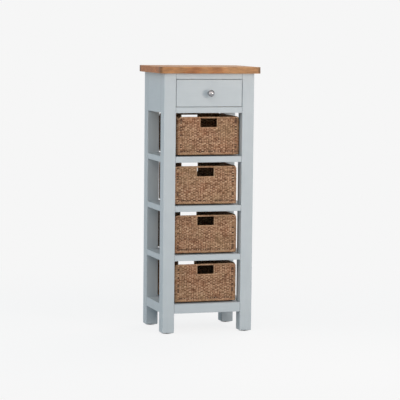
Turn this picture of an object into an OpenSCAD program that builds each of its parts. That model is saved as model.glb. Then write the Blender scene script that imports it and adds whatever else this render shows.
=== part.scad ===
// Painted tallboy: an oak top, one dovetailed drawer, and four open bays that each hold
// a seagrass basket. The frame is mortised and tenoned, and each shelf board lies in a
// rebate of its four rails. Millimetres, with X along the front, Y from front to back, Z up.
// The origin is on the floor, at the centre of the footprint with the knob included.

/* [Frame] */
// Width across the posts
body_w = 404; // [380:1:560]
// Depth across the posts
body_d = 310; // [280:1:400]
// Side of a square post
post_w = 53; // [48:1:60]
// Radius of the softened long edges of a post
post_ease = 2.5; // [1:0.5:6]
// Radius of the softened edge under a post
foot_ease = 4; // [1:0.5:8]
// Visible height of a glide under a post
glide_h = 4; // [2:0.5:5]
// Diameter of a glide
glide_d = 18; // [12:1:26]

/* [Levels] */
// Height of the lowest shelf surface above the floor
base_top = 128; // [100:1:220]
// Height from one shelf surface to the next
shelf_pitch = 212.5; // [190:0.5:280]
// Height of the opening that the drawer fills
drawer_bay_h = 120; // [100:1:150]
// Height of the rail over the drawer
top_rail_h = 24; // [20:1:50]

/* [Rails and panels] */
// Height of a shelf rail
rail_h = 25; // [22:1:40]
// Height of the lowest rails
base_rail_h = 40; // [28:1:70]
// Thickness of a rail
rail_t = 22; // [20:1:26]
// How far a rail's face lies behind the face of the posts
rail_recess = 1.5; // [0.5:0.5:3]
// Thickness of the panels that close the drawer bay
panel_t = 16; // [15:1:20]
// How far a panel's face lies behind the face of the posts
panel_recess = 0.5; // [0:0.5:2]
// Thickness of a shelf board
shelf_t = 12; // [9:1:14]
// Width of the rebate that carries a shelf board
shelf_bearing = 8; // [5:0.5:9]

/* [Joints] */
// Length of a tenon
tenon_l = 15; // [8:1:20]
// Thickness of a tenon
tenon_t = 9; // [6:1:10]
// Distance from a rail's face to its tenon
tenon_set = 4; // [3:0.5:5]
// Shoulder above and below a tenon
shoulder = 3; // [2:0.5:5]
// Play round a tenon, tongue or dovetail
joint_gap = 0.2; // [0.1:0.05:0.4]

/* [Oak top] */
// Thickness of the oak top
top_t = 28; // [22:1:40]
// Overhang of the oak top at each side
top_over_side = 23; // [5:1:40]
// Overhang of the oak top at the front
top_over_front = 15; // [5:1:35]
// Overhang of the oak top at the back
top_over_back = 5; // [2:1:20]
// Radius of the softened edges of the oak top
top_ease = 3; // [1:0.5:8]

/* [Drawer] */
// Thickness of the drawer front
front_t = 20; // [17:1:24]
// Gap round the inset drawer front
drawer_gap = 2; // [1:0.5:4]
// Radius of the softened edges of the drawer front
front_ease = 1.2; // [0.5:0.1:3]
// Running gap between a drawer side and its guide
drawer_play = 1; // [0.5:0.25:2]
// Clearance under what slides, and behind a closed drawer
slide_clear = 0.3; // [0.2:0.1:0.6]
// Room left between a drawer side and the rail over it
drawer_side_room = 11.7; // [5:0.1:30]
// Thickness of the drawer sides and back
drawer_side_t = 12; // [10:1:15]
// Thickness of the drawer bottom
bottom_t = 5; // [4:0.5:6]
// Height of the bottom's groove above the lower edge of a drawer side
groove_up = 9; // [6:1:14]
// Depth of the bottom's groove
groove_deep = 6; // [4:0.5:8]
// Wood left in front of the dovetails in the drawer front
tail_lap = 7; // [5:0.5:9]
// Number of dovetails at each corner
tail_count = 4; // [3:1:5]
// Slope of a dovetail, as its spread for each millimetre of length
tail_slope = 0.16; // [0.1:0.01:0.2]
// Length of the block that stops the closing drawer
stop_l = 20; // [12:1:40]
// Width of the runner's ledge under a drawer side
runner_ledge = 15; // [8:1:20]
// Thickness of the runner's ledge
runner_t = 12; // [8:1:16]
// Height of the guide beside a drawer side
guide_h = 30; // [15:1:60]

/* [Knob and screws] */
// Diameter of the knob's ball
knob_d = 29; // [22:1:36]
// Distance from the drawer front to the centre of the ball
knob_reach = 27; // [22:1:34]
// Diameter of the knob's neck
knob_neck_d = 10; // [8:0.5:14]
// Diameter of the knob's foot
knob_foot_d = 17; // [14:0.5:24]
// Thread diameter of the knob screw
knob_screw_d = 4; // [3:0.5:5]
// Thread diameter of the screws into the oak top
top_screw_d = 4.5; // [3.5:0.5:5.5]
// Length that a screw bites into the oak top
top_screw_bite = 16; // [8:1:20]

/* [Drawer catch] */
// Length of the turn button inside the drawer back
catch_l = 46; // [40:1:60]
// Width of the turn button
catch_w = 16; // [12:1:22]
// Thickness of the turn button
catch_t = 8; // [6:1:12]
// How far the button reaches over the top rail's lower edge
catch_hold = 8; // [4:1:14]

/* [Baskets] */
// Room left at the sides of a basket between the posts, both sides together
basket_side_room = 16; // [12:1:30]
// Room left over a basket, under the rail above it
basket_head_room = 17.5; // [12:0.5:60]
// How far a basket's front stands behind the face of the posts
basket_set_back = 25; // [10:1:40]
// How far a basket's back stays in front of the back of the posts
basket_back_room = 5; // [2:1:30]
// Thickness of a woven wall
weave_t = 7; // [5:0.5:9]
// Radius of a basket's upright corners
basket_corner = 10; // [8.5:0.5:20]
// Radius with which the border drops at the corners of the front and back walls
rim_drop = 18; // [12:1:30]
// Radius with which the border drops at the corners of the side walls
side_drop = 34; // [14:1:50]
// Radius of a basket's lower edge
base_curl = 5; // [2:0.5:8]
// Height of the plaited border round the top
rim_h = 7; // [5:0.5:12]
// How far the border stands proud of the walls
rim_proud = 1.2; // [0.5:0.1:3]
// Width of the wrapped bands along the foot and the upright corners
band_w = 12; // [8:0.5:20]
// Width of a handle hole
hole_w = 74; // [60:1:110]
// Height of a handle hole
hole_h = 37; // [28:1:50]
// Depth of wall between the border and a handle hole
hole_drop = 1; // [0:0.5:12]
// Width of the bound edge round a handle hole
hole_lip = 6; // [3:0.5:9]
// Diameter of the steel wire inside the walls
wire_d = 4; // [3:0.5:4.5]
// Share of the side room by which each basket is turned, top basket first
basket_skew = [-0.28, 0.72, 0.3, -0.34]; // [-0.9:0.01:0.9]
// Where each basket stands in the side room that is left, from -1 at the left to 1 at the right
basket_place = [0.75, -0.15, -0.1, -0.7]; // [-1:0.05:1]

/* [Hidden] */
$fn = 48;

paint_colour = "#BFC5C8";
oak_colour = "#BA926B";
pine_colour = "#D8BF95";
steel_colour = "#C9CCD0";
seagrass_colour = "#96785D";
dark_colour = "#2B2A29";

// Cuts run past a face by this much, so that they leave no skin
past = 1;
// Play between a screw and the wood round it
screw_play = 0.1;

// Heights, from the floor up
levels = 4;
shelf_z = [for (n = [1 : levels]) base_top + (levels - n) * shelf_pitch];
drawer_floor_z = base_top + levels * shelf_pitch;
drawer_ceiling_z = drawer_floor_z + drawer_bay_h;
post_top_z = drawer_ceiling_z + top_rail_h;
bay_floor_z = drawer_floor_z - rail_h;
bay_panel_h = post_top_z - bay_floor_z;

// Places in plan, before the whole is centred on its footprint
clear_w = body_w - 2 * post_w;
clear_d = body_d - 2 * post_w;
knob_front = knob_reach + knob_d / 2 - rail_recess;
front_reach = max(knob_front, top_over_front);
middle_y = (body_d + top_over_back - front_reach) / 2;

// Centre of the front right post, and the pin that holds its glide
post_x = body_w / 2 - post_w / 2;
post_y = post_w / 2;
glide_pin_d = 3;
glide_pin_l = 16;

// Length of a panel's tongue, and the wood left at its ends
tongue_l = 10;
tongue_low = 6;

// Drawer
drawer_w = clear_w - 2 * drawer_gap;
drawer_front_h = drawer_bay_h - 2 * drawer_gap;
drawer_front_y = rail_recess;
drawer_inner_y = drawer_front_y + front_t;
panel_inner_y = body_d - panel_recess - panel_t;
drawer_end_y = panel_inner_y - stop_l - slide_clear;
drawer_low_z = drawer_floor_z + slide_clear;
drawer_side_h = drawer_bay_h - drawer_side_room - slide_clear;
drawer_high_z = drawer_low_z + drawer_side_h;
back_inner_y = drawer_end_y - drawer_side_t;
bottom_z = drawer_low_z + groove_up;
back_low_z = bottom_z + bottom_t + joint_gap;
// The back stays a little lower than the sides
back_drop = 4;
back_high_z = drawer_high_z - back_drop;
catch_top_z = drawer_ceiling_z + catch_hold;
catch_y = back_inner_y - catch_t;
catch_pivot_z = back_high_z - catch_w / 2;
rail_inner_y = rail_recess + rail_t;
drawer_travel = catch_y - rail_inner_y - slide_clear;
guide_x = drawer_w / 2 + drawer_play;
ledge_x = guide_x - runner_ledge;
panel_inner_x = body_w / 2 - panel_recess - panel_t;
groove_x = drawer_w / 2 - drawer_side_t + groove_deep;
knob_z = drawer_floor_z + drawer_bay_h / 2;
// Half pins left above and below a row of dovetails, and a tail's share of its step
half_pin = 6;
tail_share = 0.52;
tail_low_z = drawer_floor_z + drawer_gap;
tail_reach = front_t - tail_lap;

// Screws: heads over threads, and how far the threads bite
head_ratio = 2;
head_t = 2.4;
sunk_head_t = (head_ratio - 1) * top_screw_d / 2;
knob_bite = 12;
catch_screw_d = 3.5;
catch_bite = 9;

// Baskets
basket_clear_out = 12;
basket_w = clear_w - basket_side_room;
basket_d = body_d - basket_set_back - basket_back_room;
basket_h = shelf_pitch - rail_h - basket_head_room;
wall_h = basket_h - rim_h;
basket_y = basket_set_back + basket_d / 2;
basket_travel = body_d - basket_back_room + top_over_front + basket_clear_out;
hole_top_z = wall_h - hole_drop;

// Turn of a basket that takes up its share of the side room
function basket_turn(n) = -asin(basket_skew[n] * basket_side_room / basket_d);
// Distance of a basket's centre from the middle of the bay
function basket_x(n) = basket_place[n] * (1 - abs(basket_skew[n])) * basket_side_room / 2;

echo(drawer_travel = drawer_travel, basket_travel = basket_travel, middle_y = middle_y);
echo(turns = [for (n = [0 : levels - 1]) basket_turn(n)]);
echo(places = [for (n = [0 : levels - 1]) basket_x(n)], basket = [basket_w, basket_d, basket_h]);

// Moves a piece drawn from the front of the posts to its place round the origin
module placed() {
    translate([0, -middle_y, 0]) children();
}

module mirrored_x() {
    mirror([1, 0, 0]) children();
}

// Turns a front piece into the matching back piece
module mirrored_y() {
    translate([0, body_d, 0]) mirror([0, 1, 0]) children();
}

// Flat outline of w by h with rounded corners, its lower left corner at the origin
module rounded_rect(w, h, r) {
    translate([r, 0]) square([w - 2 * r, h]);
    translate([0, r]) square([w, h - 2 * r]);
    for (x = [r, w - r], y = [r, h - r]) translate([x, y]) circle(r = r);
}

// The same outline centred on the origin
module centred_rect(w, h, r) {
    translate([-w / 2, -h / 2]) rounded_rect(w, h, r);
}

// Extrudes an outline drawn in X and Z along Y, from y = 0 back to y = d
module along_y(d) {
    translate([0, d, 0]) rotate([90, 0, 0]) linear_extrude(d) children();
}

// Extrudes an outline drawn in Y and Z along X, centred on x = 0
module along_x(l) {
    translate([-l / 2, 0, 0]) rotate([90, 0, 90]) linear_extrude(l) children();
}

// A board along X, with its face at y = 0 and only the long edges of that face softened
module faced_board(l, h, t, r) {
    along_x(l) {
        rounded_rect(t, h, r);
        translate([t / 2, 0]) square([t / 2, h]);
    }
}

// Tenons at both ends of a board of length l, with length, thickness and shoulders as given
module tenons(l, h, reach, thick, low) {
    for (side = [-1, 1]) {
        translate([side * (l + reach) / 2 - reach / 2, tenon_set, low])
            cube([reach, thick, h - 2 * low]);
    }
}

// A rail along X with a rebate for the shelf board, its face at y = 0 and its foot at z = 0
module rail(l, h, rebated) {
    rail_ease = 1;
    color(paint_colour) {
        difference() {
            faced_board(l, h, rail_t, rail_ease);
            if (rebated) {
                translate([-l / 2 - past, rail_t - shelf_bearing, h - shelf_t])
                    cube([l + 2 * past, shelf_bearing + past, shelf_t + past]);
            }
        }
        tenons(l, h, tenon_l, tenon_t, shoulder);
    }
}

// A drawer bay panel along X, tongued into the posts
module bay_panel(l) {
    panel_ease = 0.5;
    color(paint_colour) {
        faced_board(l, bay_panel_h, panel_t, panel_ease);
        tenons(l, bay_panel_h, tongue_l, tenon_t, tongue_low);
    }
}

// Puts a piece of the front on the left side instead
module on_left() {
    translate([-body_w / 2, body_d / 2, 0]) rotate([0, 0, -90]) children();
}

module front_rail(n) {
    h = n == levels ? base_rail_h : rail_h;
    translate([0, rail_recess, shelf_z[n - 1] - h]) rail(clear_w, h, true);
}

module left_rail(n) {
    h = n == levels ? base_rail_h : rail_h;
    on_left() translate([0, rail_recess, shelf_z[n - 1] - h]) rail(clear_d, h, true);
}

module back_rail(n) {
    mirrored_y() front_rail(n);
}

module right_rail(n) {
    mirrored_x() left_rail(n);
}

// A shelf board that fills the rebates and is notched round the four posts
module shelf_panel(n) {
    edge = rail_recess + rail_t - shelf_bearing + joint_gap;
    notch = post_w + joint_gap;
    color(paint_colour) difference() {
        translate([-body_w / 2 + edge, edge, shelf_z[n - 1] - shelf_t])
            cube([body_w - 2 * edge, body_d - 2 * edge, shelf_t]);
        for (x = [-body_w / 2 - past, body_w / 2 - notch], y = [-past, body_d - notch]) {
            translate([x, y, shelf_z[n - 1] - shelf_t - past])
                cube([notch + past, notch + past, shelf_t + 2 * past]);
        }
    }
}

module top_front_rail() {
    translate([0, rail_recess, drawer_ceiling_z]) rail(clear_w, top_rail_h, false);
}

module drawer_front_rail() {
    translate([0, rail_recess, bay_floor_z]) rail(clear_w, rail_h, false);
}

module left_side_panel() {
    on_left() translate([0, panel_recess, bay_floor_z]) bay_panel(clear_d);
}

module right_side_panel() {
    mirrored_x() left_side_panel();
}

module back_panel() {
    mirrored_y() translate([0, panel_recess, bay_floor_z]) bay_panel(clear_w);
}

// A mortise for a tenon whose board lies at height z, cut from the post's face towards -X
module mortise(z, h, reach, recess, low) {
    depth = reach + joint_gap;
    translate([clear_w / 2 - past, recess + tenon_set - joint_gap, z + low - joint_gap])
        cube([depth + past, tenon_t + 2 * joint_gap, h - 2 * low + 2 * joint_gap]);
}

// The same mortise in the post's face towards +Y
module side_mortise(z, h, reach, recess, low) {
    depth = reach + joint_gap;
    translate([
        body_w / 2 - recess - tenon_set - tenon_t - joint_gap,
        post_w - depth,
        z + low - joint_gap
    ]) cube([tenon_t + 2 * joint_gap, depth + past, h - 2 * low + 2 * joint_gap]);
}

// The square post with softened edges, at the front right
module post_blank() {
    h = post_top_z - glide_h;
    translate([clear_w / 2, 0, glide_h]) intersection() {
        linear_extrude(h) rounded_rect(post_w, post_w, post_ease);
        along_y(post_w) post_elevation(h);
        translate([post_w / 2, 0, 0]) along_x(post_w) post_elevation(h);
    }
}

module post_elevation(h) {
    rounded_rect(post_w, h, foot_ease);
    translate([0, h / 2]) square([post_w, h / 2]);
}

// The front right post with its mortises, where the other three are mirrored from it
module post(is_front) {
    color(paint_colour) difference() {
        post_blank();
        for (n = [1 : levels]) {
            h = n == levels ? base_rail_h : rail_h;
            mortise(shelf_z[n - 1] - h, h, tenon_l, rail_recess, shoulder);
            side_mortise(shelf_z[n - 1] - h, h, tenon_l, rail_recess, shoulder);
        }
        side_mortise(bay_floor_z, bay_panel_h, tongue_l, panel_recess, tongue_low);
        if (is_front) {
            mortise(bay_floor_z, rail_h, tenon_l, rail_recess, shoulder);
            mortise(drawer_ceiling_z, top_rail_h, tenon_l, rail_recess, shoulder);
        } else {
            mortise(bay_floor_z, bay_panel_h, tongue_l, panel_recess, tongue_low);
        }
        translate([post_x, post_y, glide_h - past])
            cylinder(d = glide_pin_d + 2 * screw_play, h = glide_pin_l + screw_play + past);
    }
}

module glides() {
    color(dark_colour)
    for (x = [-post_x, post_x], y = [post_y, body_d - post_y]) {
        translate([x, y, 0]) {
            rotate_extrude() glide_profile();
            translate([0, 0, glide_h / 2]) cylinder(d = glide_pin_d, h = glide_h / 2 + glide_pin_l);
        }
    }
}

// Half profile of a glide, flat underneath and rounded up to the post
module glide_profile() {
    flat_r = glide_d / 2 - glide_h;
    square([flat_r, glide_h]);
    intersection() {
        translate([flat_r, glide_h]) circle(r = glide_h);
        translate([flat_r - past, 0]) square([glide_h + past, glide_h]);
    }
}

module oak_top() {
    w = body_w + 2 * top_over_side;
    d = body_d + top_over_front + top_over_back;
    y = (body_d - top_over_front + top_over_back) / 2;
    color(oak_colour) difference() {
        translate([0, y, post_top_z]) intersection() {
            linear_extrude(top_t) centred_rect(w, d, top_ease);
            translate([0, -d / 2, top_t / 2]) along_y(d) centred_rect(w, top_t, top_ease);
            translate([0, 0, top_t / 2]) along_x(w) centred_rect(d, top_t, top_ease);
        }
        at_top_screws() translate([0, 0, post_top_z - past])
            cylinder(d = top_screw_d + 2 * screw_play, h = top_screw_bite + screw_play + past);
    }
}

// Places of the screws that hold the oak top down
module at_top_screws() {
    screw_inset = 40;
    x = (panel_inner_x + ledge_x) / 2;
    for (side = [-1, 1], y = [post_w + screw_inset, body_d - post_w - screw_inset]) {
        translate([side * x, y, 0]) children();
    }
}

module top_screws() {
    color(steel_colour) at_top_screws() {
        translate([0, 0, drawer_ceiling_z])
            cylinder(d = top_screw_d, h = top_rail_h + top_screw_bite);
        translate([0, 0, drawer_ceiling_z])
            cylinder(d1 = head_ratio * top_screw_d, d2 = top_screw_d, h = sunk_head_t);
    }
}

// A strip along the right side of the drawer bay, from an outline in X and Z, notched at the posts
module bay_strip() {
    notch = post_w + joint_gap;
    low = bay_floor_z - past;
    difference() {
        translate([0, rail_inner_y, 0]) along_y(panel_inner_y - rail_inner_y) children();
        for (y = [-past, body_d - notch]) {
            translate([clear_w / 2 - joint_gap, y, low])
                cube([post_w, notch + past, bay_panel_h + 2 * past]);
        }
    }
}

module right_runner() {
    ledge_z = drawer_floor_z - runner_t;
    color(pine_colour) bay_strip() {
        translate([ledge_x, ledge_z]) square([panel_inner_x - ledge_x, runner_t]);
        translate([guide_x, ledge_z]) square([panel_inner_x - guide_x, runner_t + guide_h]);
    }
}

module left_runner() {
    mirrored_x() right_runner();
}

module right_kicker() {
    color(pine_colour) difference() {
        bay_strip() translate([ledge_x, drawer_ceiling_z])
            square([panel_inner_x - ledge_x, top_rail_h]);
        at_top_screws() translate([0, 0, drawer_ceiling_z - past])
            cylinder(d = top_screw_d + 2 * screw_play, h = top_rail_h + 2 * past);
        at_top_screws() translate([0, 0, drawer_ceiling_z - screw_play])
            cylinder(
                d1 = head_ratio * top_screw_d + 4 * screw_play,
                d2 = top_screw_d + 2 * screw_play,
                h = sunk_head_t + screw_play
            );
    }
}

module left_kicker() {
    mirrored_x() right_kicker();
}

module drawer_stops() {
    stop_h = 20;
    color(pine_colour) for (side = [0, 1]) mirror([side, 0, 0])
        translate([ledge_x, panel_inner_y - stop_l, drawer_floor_z])
            cube([guide_x - ledge_x, stop_l, stop_h]);
}

// Outline in Y and Z of a row of dovetails that point towards +Y from y = 0
module tail_row(reach, low, high, gap) {
    step = (high - low - 2 * half_pin) / tail_count;
    narrow = step * tail_share;
    for (n = [0 : tail_count - 1]) {
        z = low + half_pin + step * (n + 0.5);
        base = narrow / 2 + gap;
        tip = base + reach * tail_slope;
        polygon([[0, z - base], [reach, z - tip], [reach, z + tip], [0, z + base]]);
    }
}

module right_drawer_side() {
    color(pine_colour) translate([drawer_w / 2 - drawer_side_t / 2, 0, 0]) difference() {
        along_x(drawer_side_t) {
            translate([drawer_inner_y, drawer_low_z])
                square([back_inner_y - drawer_inner_y, drawer_side_h]);
            translate([drawer_inner_y, 0]) mirror([1, 0])
                tail_row(tail_reach, tail_low_z, drawer_high_z, 0);
            translate([back_inner_y, 0])
                tail_row(drawer_side_t, back_low_z, back_high_z, 0);
        }
        // The groove runs on through the lowest dovetail, where the front hides its end
        translate([-drawer_side_t / 2 - past, 0, bottom_z - joint_gap / 2])
            cube([groove_deep + past, body_d, bottom_t + joint_gap]);
    }
}

module left_drawer_side() {
    mirrored_x() right_drawer_side();
}

// Cuts the sockets for a row of tails at both ends of a board
module tail_sockets(y, back_to_front, reach, low, high) {
    for (side = [-1, 1]) {
        translate([side * (drawer_w / 2 - drawer_side_t / 2 + past / 2), y, 0])
            along_x(drawer_side_t + past + 2 * joint_gap)
                mirror([back_to_front ? 1 : 0, 0])
                    translate([-joint_gap, 0])
                        tail_row(reach + 2 * joint_gap, low, high, joint_gap);
    }
}

module drawer_front() {
    color(paint_colour) difference() {
        translate([0, drawer_front_y, drawer_floor_z + drawer_gap]) front_blank();
        tail_sockets(drawer_inner_y, true, tail_reach, tail_low_z, drawer_high_z);
        translate([-groove_x, drawer_inner_y - groove_deep, bottom_z - joint_gap / 2])
            cube([2 * groove_x, groove_deep + past, bottom_t + joint_gap]);
        translate([0, drawer_front_y - past, knob_z])
            rotate([-90, 0, 0]) cylinder(d = knob_screw_d + 4 * screw_play, h = front_t + 2 * past);
    }
}

// The painted front with its four front edges softened
module front_blank() {
    intersection() {
        faced_board(drawer_w, drawer_front_h, front_t, front_ease);
        linear_extrude(drawer_front_h) {
            translate([-drawer_w / 2, 0]) rounded_rect(drawer_w, front_t, front_ease);
            translate([-drawer_w / 2, front_t / 2]) square([drawer_w, front_t / 2]);
        }
    }
}

module drawer_back() {
    color(pine_colour) difference() {
        translate([-drawer_w / 2, back_inner_y, back_low_z])
            cube([drawer_w, drawer_side_t, back_high_z - back_low_z]);
        tail_sockets(back_inner_y, false, drawer_side_t, back_low_z, back_high_z);
        translate([0, back_inner_y - past, catch_pivot_z])
            rotate([-90, 0, 0]) cylinder(d = catch_screw_d + 2 * screw_play, h = catch_bite + past);
    }
}

module drawer_bottom() {
    half = groove_x - joint_gap;
    y = drawer_inner_y - groove_deep + joint_gap;
    color(pine_colour) translate([-half, y, bottom_z])
        cube([2 * half, drawer_end_y - y - joint_gap, bottom_t]);
}

// The turned knob, drawn along +Z and turned to point out of the drawer front
module drawer_knob() {
    tip_room = 2;
    hole_l = knob_bite + tip_room;
    color(steel_colour) difference() {
        translate([0, drawer_front_y, knob_z]) rotate([90, 0, 0])
            rotate_extrude($fn = 72) knob_profile();
        translate([0, drawer_front_y + past, knob_z]) rotate([90, 0, 0])
            cylinder(d = knob_screw_d + 2 * screw_play, h = hole_l + past);
    }
}

// Half profile of the knob: a foot, a waisted neck and the ball
module knob_profile() {
    foot_t = 2.5;
    foot_land = 0.5;
    cove = (knob_foot_d - knob_neck_d) / 2 - foot_land;
    cove_x = knob_neck_d / 2 + cove;
    intersection() {
        union() {
            translate([0, knob_reach]) circle(d = knob_d);
            square([knob_neck_d / 2, knob_reach]);
            square([knob_foot_d / 2, foot_t]);
            translate([0, foot_t]) difference() {
                square([cove_x, cove]);
                translate([cove_x, cove]) circle(r = cove);
            }
        }
        square([knob_d, knob_reach + knob_d]);
    }
}

module knob_screw() {
    color(steel_colour) translate([0, drawer_inner_y, knob_z]) rotate([90, 0, 0]) {
        cylinder(d = knob_screw_d, h = front_t + knob_bite);
        translate([0, 0, -head_t]) cylinder(d = head_ratio * knob_screw_d, h = head_t);
    }
}

// Turn button with round ends, upright so that it stops the drawer on the top rail
module drawer_catch() {
    low_z = catch_top_z - catch_l;
    // Flat left at the middle of the button's round ends
    end_flat = 0.5;
    color(pine_colour) translate([0, catch_y, 0]) difference() {
        along_y(catch_t) translate([-catch_w / 2, low_z])
            rounded_rect(catch_w, catch_l, catch_w / 2 - end_flat);
        translate([0, -past, catch_pivot_z]) rotate([-90, 0, 0])
            cylinder(d = catch_screw_d + 4 * screw_play, h = catch_t + 2 * past);
    }
}

module catch_screw() {
    color(steel_colour) translate([0, catch_y, catch_pivot_z]) rotate([-90, 0, 0]) {
        cylinder(d = catch_screw_d, h = catch_t + catch_bite - screw_play);
        translate([0, 0, -head_t]) cylinder(d = head_ratio * catch_screw_d, h = head_t);
    }
}

// Solid of a basket's outer form, grown in plan, where each wall's upper corners drop
module basket_form(grow, h) {
    w = basket_w - 2 * rim_proud + 2 * grow;
    d = basket_d - 2 * rim_proud + 2 * grow;
    intersection() {
        linear_extrude(h) centred_rect(w, d, basket_corner + grow);
        union() {
            translate([0, -d / 2, 0]) along_y(d) dropped_corners(w, h, rim_drop);
            along_x(w) dropped_corners(d, h, side_drop);
        }
        translate([0, -d / 2, 0]) along_y(d) curled_foot(w, h);
        along_x(w) curled_foot(d, h);
    }
}

// Outline of one wall with its two upper corners rounded off
module dropped_corners(l, h, drop) {
    translate([-l / 2, 0]) {
        square([l, h - drop]);
        rounded_rect(l, h, drop);
    }
}

// Outline of one wall with its two lower corners rounded off
module curled_foot(l, h) {
    translate([-l / 2, 0]) {
        rounded_rect(l, h, base_curl);
        translate([0, h / 2]) square([l, h / 2]);
    }
}

module basket_body() {
    color(seagrass_colour) difference() {
        union() {
            basket_form(0, wall_h);
            wrapped_bands();
            for (back = [0, 1]) mirror([0, back, 0]) hole_band(hole_w + 2 * hole_lip,
                hole_h + 2 * hole_lip, rim_proud);
        }
        translate([0, 0, weave_t]) basket_hollow();
        for (back = [0, 1]) mirror([0, back, 0]) hole_band(hole_w, hole_h, weave_t);
    }
}

// The bands of seagrass wrapped over the wire at the foot and at the upright corners
module wrapped_bands() {
    intersection() {
        basket_form(rim_proud, wall_h);
        union() {
            translate([-basket_w / 2, -basket_d / 2, 0]) cube([basket_w, basket_d, band_w]);
            for (x = [-1, 1], y = [-1, 1])
                translate([x * basket_w / 2, y * basket_d / 2, wall_h / 2])
                    cube([2 * band_w, 2 * band_w, wall_h], center = true);
        }
    }
}

// Space inside the walls, open at the top
module basket_hollow() {
    w = basket_w - 2 * rim_proud - 2 * weave_t;
    d = basket_d - 2 * rim_proud - 2 * weave_t;
    intersection() {
        linear_extrude(basket_h) centred_rect(w, d, basket_corner - weave_t);
        translate([0, -d / 2, 0]) along_y(d) curled_foot(w, basket_h);
        along_x(w) curled_foot(d, basket_h);
    }
}

// A block in the front wall, at the handle hole, of the given size and reach out of the wall
module hole_band(w, h, reach) {
    wall_y = -basket_d / 2 + rim_proud;
    lip_ease = 4;
    z = hole_top_z - hole_h / 2;
    top = min(z + h / 2, wall_h);
    low = z - h / 2;
    translate([-w / 2, wall_y - reach, low])
        along_y(weave_t + 2 * reach) rounded_rect(w, top - low, lip_ease);
}

// The border that caps the walls and follows them down at the corners
module basket_rim() {
    seam = 0.1;
    // The border is proud of the walls on the inside too
    inset = 4 * rim_proud + 2 * weave_t;
    color(seagrass_colour) difference() {
        basket_form(rim_proud, basket_h);
        basket_form(2 * rim_proud, wall_h + seam);
        translate([0, 0, -past]) linear_extrude(basket_h + 2 * past)
            centred_rect(basket_w - inset, basket_d - inset, basket_corner - weave_t);
    }
}

// A closed hoop of wire of length l in X and Z, whose upper corners follow a border's drop
module wire_hoop(l, low, high, drop) {
    low_r = 2 * wire_d;
    high_r = drop - weave_t / 2;
    for (side = [-1, 1]) {
        translate([side * l / 2, 0, low + low_r])
            cylinder(d = wire_d, h = high - low - low_r - high_r);
        mirror([side < 0 ? 1 : 0, 0, 0]) {
            translate([l / 2 - high_r, 0, high - high_r]) wire_bend(high_r);
            translate([l / 2 - low_r, 0, low + low_r]) mirror([0, 0, 1]) wire_bend(low_r);
        }
    }
    wire_rod(l - 2 * high_r, high);
    wire_rod(l - 2 * low_r, low);
}

// A quarter turn of wire from +X up to +Z
module wire_bend(r) {
    rotate([90, 0, 0]) rotate_extrude(angle = 90) translate([r, 0]) circle(d = wire_d);
}

// A straight wire along X at height z
module wire_rod(l, z) {
    translate([-l / 2, 0, z]) rotate([0, 90, 0]) cylinder(d = wire_d, h = l);
}

// The steel wire inside the walls: a hoop in each wall, which gives the walls their corners
module basket_frame() {
    w = basket_w - 2 * rim_proud - weave_t;
    d = basket_d - 2 * rim_proud - weave_t;
    low_z = weave_t;
    high_z = basket_h - rim_h / 2;
    // Neighbouring hoops stand clear of each other in the corner
    corner_step = 2 * wire_d;
    color(dark_colour) for (side = [-1, 1]) {
        translate([0, side * d / 2, 0]) wire_hoop(w - corner_step, low_z, high_z, rim_drop);
        translate([side * w / 2, 0, 0]) rotate([0, 0, 90])
            wire_hoop(d - corner_step, low_z, high_z, side_drop);
    }
}

// Puts a basket on its shelf, where n counts from the top
module shelved(n) {
    translate([basket_x(n - 1), basket_y, shelf_z[n - 1] + slide_clear])
        rotate([0, 0, basket_turn(n - 1)]) children();
}

placed() oak_top();
placed() mirrored_x() post(true);  // front_left_post
placed() post(true);  // front_right_post
placed() mirrored_y() mirrored_x() post(false);  // back_left_post
placed() mirrored_y() post(false);  // back_right_post
placed() glides();
placed() top_front_rail();
placed() drawer_front_rail();
placed() left_side_panel();
placed() right_side_panel();
placed() back_panel();
placed() left_runner();
placed() right_runner();
placed() left_kicker();
placed() right_kicker();
placed() top_screws();
placed() drawer_stops();
for (n = [1 : levels]) {
    placed() front_rail(n);
    placed() back_rail(n);
    placed() left_rail(n);
    placed() right_rail(n);
    placed() shelf_panel(n);
}
placed() drawer_front();
placed() left_drawer_side();  // drawer_left_side
placed() right_drawer_side();  // drawer_right_side
placed() drawer_back();
placed() drawer_bottom();
placed() drawer_knob();
placed() knob_screw();
placed() drawer_catch();
placed() catch_screw();
for (n = [1 : levels]) {
    placed() shelved(n) basket_body();
    placed() shelved(n) basket_rim();
    placed() shelved(n) basket_frame();
}
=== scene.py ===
"""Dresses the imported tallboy: painted pine frame, oiled oak top, dovetailed pine drawer,
satin chrome knob and four plaited seagrass baskets, in a plain studio.

Lengths in the classes are millimetres, and meshes are handed to Blender in metres.
"""

import functools
import logging
import math
from dataclasses import dataclass, field
from enum import Enum
from typing import Any, Protocol

import bpy
import numpy as np
from mathutils import Matrix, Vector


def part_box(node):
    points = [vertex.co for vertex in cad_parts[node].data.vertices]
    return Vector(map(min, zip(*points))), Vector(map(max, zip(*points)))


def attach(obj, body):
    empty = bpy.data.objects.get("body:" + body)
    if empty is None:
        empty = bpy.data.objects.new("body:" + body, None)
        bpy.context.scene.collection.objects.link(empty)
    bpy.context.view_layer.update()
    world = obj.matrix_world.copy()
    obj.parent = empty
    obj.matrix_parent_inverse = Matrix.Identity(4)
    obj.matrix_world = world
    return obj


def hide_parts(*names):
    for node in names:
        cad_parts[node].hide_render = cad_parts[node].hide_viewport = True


LOG = logging.getLogger("tallboy")
MM = 0.001
PER_CM = 10.0
LEVELS = (1, 2, 3, 4)
WHITE = "#FFFFFF"
# Two numbers that belong together, such as a width and a length
Span = tuple[float, float]
Place = tuple[float, float, float]
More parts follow.
